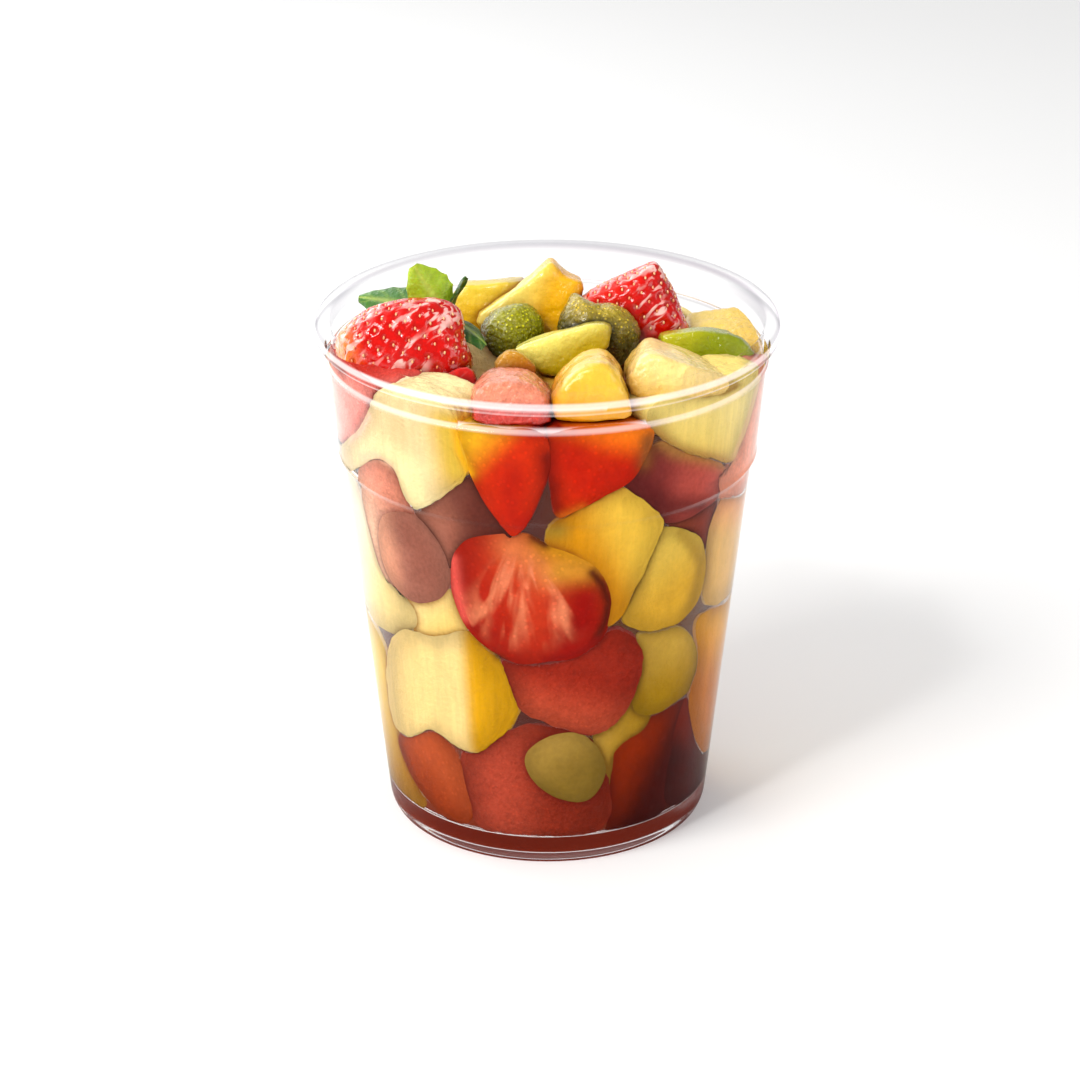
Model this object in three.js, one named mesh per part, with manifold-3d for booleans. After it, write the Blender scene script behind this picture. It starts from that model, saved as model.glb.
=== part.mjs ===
// A clear plastic cup of cut fruit: the cup, the packed heap of fruit inside it, and the larger
// pieces that lie on top. Millimetres, +Z up, origin at the middle of the cup's foot. The front
// of the cup faces -Y, and azimuths turn from there towards +X.

import * as THREE from 'three';
import { mergeVertices } from 'three/addons/utils/BufferGeometryUtils.js';
import Module from 'manifold-3d';

const wasm = await Module();
wasm.setup();

// ---- Driving dimensions: the cup ----
const cupHeight = 113.3;
const wallThickness = 0.9;
const footRadius = 33.8;
const footWidth = 2.4;
const puntDepth = 1.5;
const floorTop = 6;
const floorFillet = 2.4;
const lowerWallRadius = 34.97; // outer radius of the lower wall at lowerWallStart
const lowerWallStart = 2;
const lowerWallSlope = 0.109;
const shoulderLevel = 82.2; // the stacking shoulder, where the wall steps out
const shoulderRise = 1.6;
const upperWallRadius = 44.6; // outer radius just over the shoulder
const upperWallSlope = 0.09;
const beadLevel = 104.2; // the thin ring round the wall under the rim
const beadHeight = 1.2;
const beadReach = 0.5;
const neckRadius = 46.9;
const neckLevel = 108.6;
const rimRadius = 49; // the rolled rim
const rimRollDepth = 4.2;
const rimInnerRadius = 45.7;
const cupSegments = 56;
const coreSegments = 24;

// ---- Driving dimensions: the fruit ----
const fitGap = 0.35; // clearance between pieces that touch
const rankStep = 0.35; // each rank lies this much further in from the wall
const blockPower = 8; // how sharp the edges of a cut block are
const cutReach = 2.1; // a knife cut over a corner, where 3 is the corner itself
const coreInset = 3.2; // the core lies this far inside the wall
const coreTopLevel = 101;
const coreShoulderLevel = 95;
const warpDepth = 0.02; // how uneven the skins are, as a share of a piece's size
const warpWaves = 4;
const pieceFineness = 1; // rows of facets on a plain piece
const backInset = 5; // how far the middle of a back piece lies in from the wall
const pieceDepth = 12; // how deep a piece on the wall is
const edgeRound = 1.2; // how deep the rounding of its outline is
const firstEdgeSeed = 120;
// how round a topping is from front to back: the power of its superellipse
const sectionPower = { block: 8, round: 2.3, berry: 2.6 };
const sectionAngles = [-66, -25, 25, 66];

// ---- Pieces pressed against the wall ----
// name, middle [azimuth, level], rank, which orders the pieces from the wall inwards, and the
// corners [azimuth, level] of the outline on the wall
const wallPieces = [
  ['watermelon_top_left', [-70, 98], 1, [
    [-48, 109], [-52, 101], [-59, 95], [-67, 91], [-78, 88], [-90, 90], [-92, 106], [-75, 109.5],
  ]],
  ['pineapple_left', [-42, 98], 0, [
    [-24, 109], [-23, 99], [-21, 94], [-27, 90], [-33, 86], [-38, 83.5], [-42, 86], [-44, 91.5],
    [-50, 92.5], [-57, 90], [-66, 86], [-75, 83], [-75, 88], [-66, 92], [-59, 96], [-53, 101],
    [-49, 109],
  ]],
  ['strawberry_drop', [-12, 96], 0, [
    [-25, 103.5], [-23, 99], [-20, 94.5], [-17, 89.5], [-13, 84.5], [-10, 80.5], [-7, 83.5],
    [-3.5, 88], [-1, 94], [0, 99], [-0.5, 103.5], [-6, 105], [-20, 105],
  ]],
  ['strawberry_red', [13, 97], 0.1, [
    [0, 103.5], [0.5, 99], [2, 92], [3, 85], [8, 87.5], [14, 90], [20, 92], [24, 95], [27, 100],
    [27, 103.5], [21, 105], [6, 105],
  ]],
  ['grape_upper_right', [42, 90], 2, [
    [20, 92], [23, 97], [30, 100], [38, 98], [46, 95], [54, 91], [61, 87], [57, 82.5], [45, 80.5],
    [34, 80.5], [27, 86],
  ]],
  ['watermelon_right', [70, 91], 1, [
    [53, 91], [60, 87.5], [64, 95], [68, 106], [90, 106], [92, 80], [76, 77], [62, 80.5], [55, 82],
  ]],
  ['watermelon_left', [-53, 78], 2, [
    [-44, 92], [-41, 86], [-39, 80], [-46, 68], [-50, 61], [-60, 61], [-65, 70], [-64, 82],
    [-60, 89], [-52, 92],
  ]],
  ['grape_left', [-43, 71], 0, [
    [-56, 72], [-54, 77], [-48, 80.5], [-42, 82], [-36, 80.5], [-32, 76], [-30, 70], [-32, 65],
    [-37, 62], [-44, 60.5], [-51, 62.5], [-55, 66],
  ]],
  ['grape_dark_left', [-25, 83], 3, [
    [-40, 83], [-33, 87], [-22, 94.5], [-15, 90], [-9, 82], [-12, 76], [-22, 74], [-30, 70], [-36, 78],
  ]],
  ['strawberry_half', [-6, 66], 0, [
    [-20, 79], [-14, 80.5], [-8, 81.3], [-3, 80], [0, 78], [5, 77], [10, 74.5], [14, 72], [17, 68],
    [18, 63], [16, 57], [12, 53.5], [4, 51.5], [-6, 50.5], [-13, 51.5], [-20, 54.5], [-25, 59],
    [-28.5, 66], [-28, 73], [-24, 77.5],
  ]],
  ['mango_centre', [16, 78], 0.2, [
    [1, 84], [8, 88.5], [15, 91], [20, 91.5], [27, 86.5], [34, 81], [31, 76], [26, 67], [21, 60],
    [17, 58], [10, 66], [-1, 76],
  ]],
  ['melon_slab', [39, 67], 0.4, [
    [31, 79.5], [38, 78.5], [46, 75.5], [51, 71], [52.5, 65], [51, 59], [46, 56], [37, 55],
    [28, 56.5], [22.5, 60], [25, 66], [28, 74],
  ]],
  ['melon_right', [65, 68], 1, [
    [53, 80], [64, 82], [76, 78], [90, 76], [92, 54], [70, 53], [55, 56], [52, 66],
  ]],
  ['honeydew_left', [-68, 64], 1, [
    [-90, 86], [-74, 84], [-66, 80], [-62, 68], [-58, 62], [-46, 61], [-43, 56], [-47, 51],
    [-58, 49], [-74, 49], [-92, 52],
  ]],
  ['pineapple_small', [-36, 57], 1.5, [
    [-46, 62], [-38, 64], [-31, 67], [-26, 62], [-24, 54], [-32, 50], [-45, 51], [-47, 56],
  ]],
  ['pineapple_big', [-36, 40], 0.5, [
    [-62, 41], [-56, 48.5], [-47, 52.5], [-36, 52.5], [-24, 57], [-18, 53.5], [-13.5, 48], [-10, 40],
    [-13, 34.5], [-19, 30], [-25, 26.5], [-32, 27.5], [-40, 30.5], [-47, 27.5], [-55, 24], [-63, 25],
    [-64, 33],
  ]],
  ['watermelon_centre', [9, 45], 1, [
    [-12, 51], [-12, 45], [-9, 40.5], [-2, 37.5], [5, 35], [12, 33], [18, 33.5], [23, 37], [27, 42],
    [29, 48], [26, 54], [20, 58], [10, 56], [-2, 53],
  ]],
  ['melon_ball', [41, 45], 1.2, [
    [27, 55], [36, 55.5], [45, 53.5], [51, 48.5], [56, 41.5], [52, 37], [43, 35.5], [34, 35],
    [27, 39], [28, 47],
  ]],
  ['melon_low', [22, 31], 2, [
    [14, 35], [22, 39], [33, 38], [36, 34], [33, 30], [26, 28], [22, 24], [21, 14], [16, 10],
    [14, 20], [16, 28],
  ]],
  ['mango_right', [72, 36], 1, [
    [49, 54], [60, 54], [74, 51], [92, 50], [92, 14], [74, 14], [63, 20], [56, 28], [53, 36], [57, 42],
  ]],
  ['strawberry_low_left', [-46, 18], 1, [
    [-62, 22], [-55, 25.5], [-48, 28], [-42, 31], [-36, 29], [-32, 25], [-30, 18], [-28, 9],
    [-38, 7], [-48, 11], [-58, 16],
  ]],
  ['mango_low_left', [-70, 25], 1.5, [
    [-92, 48], [-72, 48], [-62, 44], [-60, 34], [-61, 24], [-56, 16], [-46, 9], [-60, 5.5], [-74, 6],
    [-92, 9],
  ]],
  ['watermelon_low', [-5, 19], 1, [
    [-32, 20], [-29, 26.5], [-20, 30.5], [-12, 33.5], [-2, 35.5], [12, 33], [20, 26], [21.5, 14],
    [19, 7.5], [0, 6], [-22, 6.5], [-29, 12],
  ]],
  ['green_grape', [6, 25], 0, [
    [-7, 27], [-3, 31], [4, 33.5], [11, 32.5], [16, 28.5], [18.5, 23], [16, 18], [11, 16], [3, 17.5],
    [-4, 21.5],
  ]],
  ['strawberry_low_right', [36, 20], 1.5, [
    [20.5, 24], [25, 29], [33, 31], [36, 35.5], [44, 36], [52, 36], [54, 28], [50, 18], [47, 8],
    [34, 6.5], [20, 7],
  ]],
  ['strawberry_low_edge', [64, 16], 1, [
    [48, 36], [55, 33], [61, 24], [70, 17], [92, 14], [92, 6], [46, 6.5], [46, 20],
  ]],
  ['grape_right', [45, 78], 3, [
    [33, 82], [45, 83], [55, 83], [56, 74], [50, 69], [40, 74],
  ]],
  ['pineapple_right', [44, 99], 0.6, [
    [25.5, 109], [26.5, 103.5], [31.4, 100.4], [35.5, 97.8], [42.1, 95], [49.8, 92.3], [57.7, 88.8],
    [62, 91], [66.5, 96], [73, 102], [72, 108.5], [48, 109.5],
  ]],
].map(([, middle, rank, corners]) => ({ middle, rank, corners }));

// ---- Pieces lying on top, each its own solid ----
const mangoYellow = 0xf7c33c;
const pineappleYellow = 0xf8dc7c;
const strawberryRed = 0xdc281c;
const kiwiGreen = 0x87961c;
// name, kind, middle, [yaw, roll, pitch] in degrees, thickness, colour, and the corners
// [across, up] of the outline in the XZ plane that the turn tilts
const toppings = [
  ['strawberry_left', 'berry', [-31, -11.3, 111.2], [0, 0, -24], 20, strawberryRed, [
    [-14, -0.3], [-9.5, 4.8], [-4.5, 7.8], [2, 8.9], [8.5, 8.9], [12.6, 7.2], [13.8, 4.5], [14, 0],
    [15.8, -4.5], [15.2, -8.5], [9.5, -11.5], [1, -13], [-7, -11], [-13, -6],
  ]],
  ['strawberry_right', 'berry', [18.5, 15, 110.5], [0, 0, -24], 17, strawberryRed, [
    [-12, 0], [-9.5, 2.5], [-4.5, 5], [1, 7], [4.5, 9], [6.5, 6.5], [9, 2], [11, -3.5], [12.5, -7],
    [8, -11], [0, -12], [-6, -9], [-10.5, -3],
  ]],
  ['pineapple_front', 'block', [28.5, -24.8, 109.2], [0, 0, -12], 25, pineappleYellow, [
    [-13, 0], [-10.5, 4], [-8, 6.5], [-4, 5], [1.5, 3], [7, 0.4], [11, -2.3], [9.5, -3.8], [3, -3.8],
    [-7, -3.8], [-12, -3.5],
  ]],
  ['mango_front', 'block', [9, -33, 109], [0, 0, -12], 22, mangoYellow, [
    [-8.3, -1], [-7, 2], [-3.5, 5.5], [-1, 6.8], [2.5, 7.2], [5, 5], [6.5, 1.5], [7.7, -2],
    [8, -4.5], [3, -5.4], [-7, -5.4], [-8.3, -3.5],
  ]],
  ['watermelon_front', 'block', [-7, -33, 106.5], [0, 0, -12], 22, 0xe88c72, [
    [-8.3, 0], [-7.7, 2.8], [-5.8, 5], [-2, 5.6], [2, 5.6], [5.5, 3.8], [7.7, 1.2], [8.2, -1.5],
    [8, -3.4], [0.5, -3.8], [-8, -3.4],
  ]],
  ['mango_peak', 'block', [-3.5, 19, 109.5], [0, 0, -14], 15, mangoYellow, [
    [-12.5, -3.5], [-7.5, 0], [-3.5, 2.8], [0, 5.2], [2.3, 7.5], [4, 8.8], [5.7, 7.5], [8, 5.4],
    [11.5, 3.8], [11, 0], [10, -9], [5, -12], [-1, -11], [-9, -8],
  ]],
  ['kiwi_dark', 'round', [11, 2, 109], [0, 0, -24], 15, 0x5f6420, [
    [-9, 0], [-8, 4], [-5.5, 8], [-3, 6], [1.5, 5], [5, 5], [7.5, 2], [8.7, -1.5], [7.5, -5],
    [4.5, -8], [1, -9], [-5, -8], [-8, -5],
  ]],
  ['kiwi_speckled', 'round', [-7.5, 5, 107.5], [0, 0, -24], 15, kiwiGreen, [
    [-6.5, 1.5], [-4, 4], [-1, 5.7], [3, 5.7], [6, 3.5], [7.2, 0.5], [6.3, -3], [3, -7], [-1, -8],
    [-5, -7], [-7, -2],
  ]],
  ['melon_wedge', 'block', [3, -9, 109], [0, 0, -16], 11, 0xd8c848, [
    [-10.5, -0.5], [-7.5, 1.2], [-3, 2.7], [2.5, 4.2], [6, 5.3], [9.7, 5], [10.5, 3], [9.5, -0.5],
    [5, -3], [0.5, -5.7], [-3, -6], [-6.5, -4],
  ]],
  ['pineapple_back', 'block', [38.5, 10, 100], [0, -6, 8], 26, pineappleYellow, [
    [-9, 4.8], [-3, 5.3], [4, 5.3], [9, 4.5], [9.5, 0], [8, -7], [-8, -7], [-9.5, 0],
  ]],
  ['kiwi_slice', 'block', [33.5, -3, 106], [0, 0, -16], 11, kiwiGreen, [
    [-10.5, 3.2], [-7, 4.2], [0, 4.7], [6, 3.7], [9.7, 0.5], [10.2, -2.5], [7, -7], [2.5, -6],
    [-2.5, -3], [-8, 0],
  ]],
  ['mango_strip', 'block', [-12, 25, 108], [0, 0, -14], 12, mangoYellow, [
    [-8, 3], [-2, 3.3], [3.5, 3.7], [7.5, 4], [8, -1], [5, -7], [-4, -8], [-8, -5],
  ]],
  ['strawberry_under', 'block', [-18, -20, 105.5], [0, 0, -24], 14, strawberryRed, [
    [-5, -1], [-1, 2.5], [2.5, 3], [4.2, -1], [4.5, -5.5], [1, -8], [-4, -7],
  ]],
  ['peach_bit', 'block', [-6.5, -19, 109], [0, 0, -16], 6, 0xe89a3c, [
    [-4.7, -0.5], [-3, 2.3], [-1, 3.2], [2, 1.8], [4.7, -1], [2.5, -3.5], [-2.5, -3.5],
  ]],
].map(([name, kind, middle, turn, thickness, colour, corners]) => (
  { name, kind, middle, turn, thickness, colour, corners }
));

// ---- Pieces at the edge of the heap, under the toppings ----
// name, middle, [width, depth, height] and [yaw, roll, pitch] in degrees
const edgePieces = [
  ['edge_pineapple', [-25.5, -26.5, 102.8], [13, 14, 11], [-45, 8, 0]],
  ['edge_mango', [-20.5, -31, 102.8], [11, 12, 11], [-32, 0, 0]],
].map(([, place, size, turn]) => ({ kind: 'block', place, size, turn, rank: 1 }));

// ---- Leaves of the berry on the left ----
const calyxHub = [-21.5, -4.3, 114.7];
const hubSize = [5, 5, 3];
const leafThickness = 0.7;
// heading turns from +X about +Z, lift raises the blade, twist turns it about its own length, and
// curl bends its tip down
const leaves = [
  { length: 12, width: 9.5, heading: 160, lift: 54, twist: -55, curl: -1 },
  { length: 21, width: 8, heading: 160, lift: 8, twist: -50, curl: 5 },
  { length: 9, width: 5, heading: 50, lift: 50, twist: -60, curl: 0.5 },
  { length: 12, width: 9, heading: -38, lift: -14, twist: -10, curl: 1.5 },
];

// ---- Shapes shared by the fruit ----

/** Repeatable number from 0 to 1 for a whole number. */
function scatter(n) {
  const wave = Math.sin(n * 12.9898) * 43758.5453;
  return wave - Math.floor(wave);
}

/** Inner radius of the cup's wall at a height. */
function wallInside(level) {
  if (level < shoulderLevel) {
    return lowerWallRadius + (level - lowerWallStart) * lowerWallSlope - wallThickness;
  }
  const upper = upperWallRadius + (level - shoulderLevel) * upperWallSlope - wallThickness;
  return Math.min(upper, rimInnerRadius - fitGap);
}

/** Largest radius that fruit may reach: one straight cone inside both walls, rounded at the floor. */
function fruitLimit(level) {
  const cone = lowerWallRadius + (level - lowerWallStart) * lowerWallSlope - wallThickness;
  const straight = Math.min(cone, wallInside(Math.max(level, shoulderLevel)));
  const below = Math.max(0, floorFillet - (level - floorTop));
  return straight - floorFillet + Math.sqrt(floorFillet ** 2 - Math.min(below, floorFillet) ** 2);
}

/** Distance from a piece's middle to its skin along the unit direction d. A block is the power mean
 *  of its six faces and two knife cuts over its corners, a round is an ellipsoid, and a berry is an
 *  ellipsoid that narrows to its tip. */
function skinDistance(kind, half, seed, d) {
  const u = new THREE.Vector3(d.x / half[0], d.y / half[1], d.z / half[2]);
  const waves = [d.x, d.y, d.z].map((side, i) => Math.sin(warpWaves * side + (i + 1) * seed));
  const warp = 1 + warpDepth * (waves[0] + waves[1] + waves[2]);
  if (kind === 'block') {
    let sum = Math.abs(u.x) ** blockPower + Math.abs(u.y) ** blockPower + Math.abs(u.z) ** blockPower;
    for (let cut = 0; cut < 2; cut += 1) {
      const sx = scatter(seed + 3 * cut) < 0.5 ? -1 : 1;
      const sy = scatter(seed + 3 * cut + 1) < 0.5 ? -1 : 1;
      const sz = scatter(seed + 3 * cut + 2) < 0.5 ? -1 : 1;
      const reach = cutReach + 0.3 * scatter(seed + 9 + cut);
      sum += Math.max(0, (sx * u.x + sy * u.y + sz * u.z) / reach) ** blockPower;
    }
    return warp * sum ** (-1 / blockPower);
  }
  const taper = kind === 'round' ? 1 : 1 + 0.18 * d.z - 0.2 * Math.min(d.z, 0) ** 2;
  return warp / Math.hypot(u.x / taper, u.y / taper, u.z);
}

/** Directions that the skin of a piece is worked out along: a box grid gathered towards the edges
 *  for a block, and an even ball for the others. */
function directionGrid(kind, half) {
  if (kind !== 'block') {
    return new THREE.IcosahedronGeometry(1, pieceFineness);
  }
  const steps = pieceFineness + 1;
  const geometry = new THREE.BoxGeometry(2, 2, 2, steps, steps, steps);
  const position = geometry.attributes.position;
  for (let i = 0; i < position.count; i += 1) {
    position.setXYZ(i, position.getX(i) * half[0], position.getY(i) * half[1], position.getZ(i) * half[2]);
  }
  return geometry;
}

/** Moves a point up off the floor and in from the wall, so that it keeps wallGap. */
function holdInside(point, wallGap) {
  point.z = Math.max(point.z, floorTop + fitGap);
  const limit = fruitLimit(point.z) - wallGap;
  const radius = Math.hypot(point.x, point.y);
  const pull = radius > limit ? limit / radius : 1;
  point.x *= pull;
  point.y *= pull;
  return point;
}

/** Matrix that turns by [yaw, roll, pitch] in degrees and carries to a middle. */
function placing(turn, middle) {
  const [yaw, roll, pitch] = turn.map(THREE.MathUtils.degToRad);
  const matrix = new THREE.Matrix4().makeRotationFromEuler(new THREE.Euler(pitch, roll, yaw, 'ZYX'));
  return matrix.setPosition(...middle);
}

/** Closed mesh of a plain piece in its place. wallGap keeps it that far inside the cup, or is null
 *  for a piece that is clear of it. */
function pieceGeometry(piece, seed, wallGap) {
  const half = piece.size.map((side) => side / 2);
  const matrix = placing(piece.turn, piece.place);
  const geometry = bare(directionGrid(piece.kind, half));
  const position = geometry.attributes.position;
  const point = new THREE.Vector3();
  for (let i = 0; i < position.count; i += 1) {
    point.fromBufferAttribute(position, i).normalize();
    point.multiplyScalar(skinDistance(piece.kind, half, seed, point)).applyMatrix4(matrix);
    if (wallGap !== null) {
      holdInside(point, wallGap);
    }
    position.setXYZ(i, point.x, point.y, point.z);
  }
  return mergeVertices(geometry, 1e-4);
}

/** Corners of an outline in order round their middle, each drawn in to where its rounded corner
 *  lies. */
function roundedOutline(corners, [middleX, middleY]) {
  const drawn = corners.map(([x, y], i) => {
    const before = corners.at(i - 1);
    const after = corners[(i + 1) % corners.length];
    return [(before[0] + 6 * x + after[0]) / 8 - middleX, (before[1] + 6 * y + after[1]) / 8 - middleY];
  });
  return drawn.sort((a, b) => Math.atan2(a[1], a[0]) - Math.atan2(b[1], b[0]));
}

/** Closed mesh from a first point through rings, each of the same number of points, to a last
 *  point. Seen from the first point, the rings run against the clock. */
function ringsGeometry(first, rings, last) {
  const count = rings[0].length;
  const points = [first, ...rings.flat(), last];
  const index = [];
  for (let i = 0; i < count; i += 1) {
    const next = (i + 1) % count;
    index.push(0, 1 + i, 1 + next);
    for (let ring = 0; ring < rings.length - 1; ring += 1) {
      const here = 1 + ring * count;
      const there = here + count;
      index.push(here + i, there + i, there + next);
      index.push(here + i, there + next, here + next);
    }
    const end = 1 + (rings.length - 1) * count;
    index.push(points.length - 1, end + next, end + i);
  }
  const geometry = new THREE.BufferGeometry().setFromPoints(points);
  geometry.setIndex(index);
  return geometry;
}

/** Closed mesh of a piece pressed on the wall: its outline there, rounded off at the edge, and
 *  carried inwards to its back. */
function wallPieceGeometry({ middle, rank, corners }) {
  const outline = roundedOutline(corners, middle);
  const pointAt = (share, depth, [azimuth, level]) => {
    const height = Math.max(middle[1] + share * level, floorTop + fitGap);
    const radius = fruitLimit(height) - fitGap - rankStep * rank - depth;
    const angle = THREE.MathUtils.degToRad(middle[0] + share * azimuth);
    return new THREE.Vector3(radius * Math.sin(angle), -radius * Math.cos(angle), height);
  };
  const ringAt = (share, depth) => outline.map((corner) => pointAt(share, depth, corner));
  const rings = [ringAt(0.9, 0), ringAt(1, edgeRound), ringAt(0.92, pieceDepth)];
  return ringsGeometry(pointAt(0, 0, [0, 0]), rings, pointAt(0, pieceDepth + 1, [0, 0]));
}

/** Closed mesh of a topping in its place: rings of its outline, drawn in towards the front and the
 *  back along a superellipse. grow makes it larger all round, and wallGap keeps it that far inside
 *  the cup, or is null for a cutter that reaches past the wall. */
function toppingGeometry(topping, grow, wallGap) {
  const power = 2 / sectionPower[topping.kind];
  const half = topping.thickness / 2 + grow;
  const matrix = placing(topping.turn, topping.middle);
  const outline = roundedOutline(topping.corners, [0, 0]);
  const pointAt = (x, y, z) => {
    const point = new THREE.Vector3(x, y, z).applyMatrix4(matrix);
    return wallGap === null ? point : holdInside(point, wallGap);
  };
  const rings = sectionAngles.map((degrees) => {
    const angle = THREE.MathUtils.degToRad(degrees);
    const depth = Math.sign(degrees) * half * Math.abs(Math.sin(angle)) ** power;
    return outline.map(([x, z]) => {
      const share = Math.cos(angle) ** power * (1 + grow / Math.hypot(x, z));
      return pointAt(share * x, depth, share * z);
    });
  });
  return ringsGeometry(pointAt(0, -half, 0), rings, pointAt(0, half, 0));
}

/** Manifold solid of a closed geometry. */
function solidOf(geometry) {
  const merged = mergeVertices(geometry, 1e-4);
  const mesh = new wasm.Mesh({
    numProp: 3,
    vertProperties: new Float32Array(merged.attributes.position.array),
    triVerts: new Uint32Array(merged.index.array),
  });
  return new wasm.Manifold(mesh);
}

/** The largest body of a solid: loose scraps are dropped and sealed hollows are filled. */
function mainBody(solid) {
  return solid.decompose().reduce((best, part) => (part.volume() > best.volume() ? part : best));
}

/** Named mesh of a solid or geometry, in its own material. */
function makeMesh(name, source, colour, roughness) {
  let geometry = source;
  if (!source.isBufferGeometry) {
    const data = source.getMesh();
    geometry = new THREE.BufferGeometry();
    geometry.setAttribute('position', new THREE.BufferAttribute(new Float32Array(data.vertProperties), 3));
    geometry.setIndex(new THREE.BufferAttribute(new Uint32Array(data.triVerts), 1));
  }
  geometry.computeVertexNormals();
  const material = new THREE.MeshStandardMaterial({ color: colour, roughness, metalness: 0 });
  const mesh = new THREE.Mesh(geometry, material);
  mesh.name = name;
  return mesh;
}

/** Plain geometry left with its position alone. */
function bare(geometry) {
  geometry.deleteAttribute('normal');
  geometry.deleteAttribute('uv');
  return geometry;
}

// ---- The cup ----

/** Closed wall section turned round the axis: up the outside, over the rolled rim and down inside. */
function cupGeometry() {
  const outerAt = (level) => lowerWallRadius + (level - lowerWallStart) * lowerWallSlope;
  const upperAt = (level) => upperWallRadius + (level - shoulderLevel - shoulderRise) * upperWallSlope;
  const rollMiddle = cupHeight - rimRollDepth / 2;
  const rollRadius = rimRollDepth / 2;
  const profile = [
    [0, puntDepth],
    [footRadius - footWidth - puntDepth, puntDepth],
    [footRadius - footWidth, 0],
    [footRadius, 0],
    [outerAt(lowerWallStart) - 0.2, lowerWallStart - 0.9],
    [outerAt(lowerWallStart), lowerWallStart],
    [outerAt(shoulderLevel), shoulderLevel],
    [upperWallRadius, shoulderLevel + shoulderRise],
    [upperAt(beadLevel - beadHeight / 2), beadLevel - beadHeight / 2],
    [upperAt(beadLevel) + beadReach, beadLevel],
    [upperAt(beadLevel + beadHeight / 2), beadLevel + beadHeight / 2],
    [neckRadius, neckLevel],
    [rimRadius - 0.5, rollMiddle - rollRadius],
  ];
  for (const degrees of [0, 30, 60, 90]) {
    const angle = THREE.MathUtils.degToRad(degrees);
    const radius = rimRadius - rollRadius + rollRadius * Math.cos(angle);
    profile.push([radius, rollMiddle + rollRadius * Math.sin(angle)]);
  }
  profile.push([rimInnerRadius + 0.4, cupHeight - 0.5]);
  profile.push([rimInnerRadius, cupHeight - 1.3]);
  profile.push([rimInnerRadius, beadLevel + 3]);
  profile.push([upperAt(shoulderLevel + shoulderRise) - wallThickness, shoulderLevel + shoulderRise]);
  profile.push([outerAt(shoulderLevel) - wallThickness, shoulderLevel]);
  profile.push([outerAt(floorTop + floorFillet) - wallThickness, floorTop + floorFillet]);
  for (const degrees of [30, 60, 90]) {
    const angle = THREE.MathUtils.degToRad(degrees);
    const middle = outerAt(floorTop + floorFillet) - wallThickness - floorFillet;
    profile.push([middle + floorFillet * Math.cos(angle), floorTop + floorFillet * (1 - Math.sin(angle))]);
  }
  profile.push([0, floorTop]);
  const points = profile.map(([radius, level]) => new THREE.Vector2(radius, level));
  const geometry = bare(new THREE.LatheGeometry(points, cupSegments));
  geometry.rotateX(Math.PI / 2);
  return geometry;
}

// ---- The heap of fruit in the cup ----

/** Plain core under the pieces. */
function coreGeometry() {
  const profile = [
    [0, floorTop + fitGap],
    [fruitLimit(floorTop + 0.5) - coreInset, floorTop + fitGap],
    [fruitLimit(floorTop + floorFillet) - coreInset / 2, floorTop + floorFillet],
    [fruitLimit(30) - coreInset, 30],
    [fruitLimit(coreShoulderLevel) - coreInset, coreShoulderLevel],
    [26, coreTopLevel - 1],
    [0, coreTopLevel],
  ];
  const points = profile.map(([radius, level]) => new THREE.Vector2(radius, level));
  const geometry = bare(new THREE.LatheGeometry(points, coreSegments));
  geometry.rotateX(Math.PI / 2);
  return geometry;
}

/** Pieces on the side of the cup away from the front, in even rows with scattered kinds and sizes,
 *  each pressed on the wall. */
function backPieces() {
  const kinds = ['block', 'round', 'block', 'berry', 'block'];
  const rowLevels = [17, 37, 56, 75, 91];
  const perRow = 6;
  const pieces = [];
  rowLevels.forEach((rowLevel, row) => {
    for (let i = 0; i < perRow; i += 1) {
      const n = row * perRow + i + 40;
      const azimuth = 92 + (176 / perRow) * (i + 0.35 + 0.3 * (row % 2) + 0.15 * scatter(n));
      const level = rowLevel + 3 * scatter(n + 100) - 1.5;
      const angle = THREE.MathUtils.degToRad(azimuth);
      const radius = wallInside(level) - backInset;
      const place = [radius * Math.sin(angle), -radius * Math.cos(angle), level];
      const width = 22 + 5 * scatter(n + 200);
      const height = 20 + 4 * scatter(n + 300);
      const turn = [azimuth, 50 * scatter(n + 400) - 25, 0];
      const rank = 3 * scatter(n + 500);
      const kind = kinds[(i + 2 * row) % kinds.length];
      pieces.push({ kind, place, size: [width, 18, height], turn, rank });
    }
  });
  return pieces;
}

/** Pieces showing between the toppings, on a sunflower spiral over the core. */
function upperPieces() {
  const kinds = ['block', 'berry', 'block', 'round'];
  const pieces = [];
  for (let i = 0; i < 13; i += 1) {
    const radius = 10.2 * Math.sqrt(i + 0.5);
    const angle = THREE.MathUtils.degToRad(137.5 * i);
    const side = 15 + 4 * scatter(i + 600);
    const place = [radius * Math.sin(angle), -radius * Math.cos(angle), 99 - 0.09 * radius];
    const turn = [360 * scatter(i + 700), 40 * scatter(i + 800), 0];
    pieces.push({ kind: kinds[i % kinds.length], place, size: [side, side * 0.9, 12], turn, rank: 1 });
  }
  return pieces;
}

/** Core with all its pieces fused on, cut clear of the toppings. */
function fillSolid(cutters) {
  const plain = [...backPieces(), ...upperPieces()];
  const seeded = plain.map((piece, i) => [piece, wallPieces.length + i + 1]);
  seeded.push(...edgePieces.map((piece, i) => [piece, firstEdgeSeed + i]));
  let heap = solidOf(coreGeometry());
  for (const piece of wallPieces) {
    heap = heap.add(solidOf(wallPieceGeometry(piece)));
  }
  for (const [piece, seed] of seeded) {
    heap = heap.add(solidOf(pieceGeometry(piece, seed, fitGap + rankStep * piece.rank)));
  }
  for (const cutter of cutters) {
    heap = heap.subtract(cutter);
  }
  return mainBody(heap);
}

// ---- Leaves ----

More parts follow.
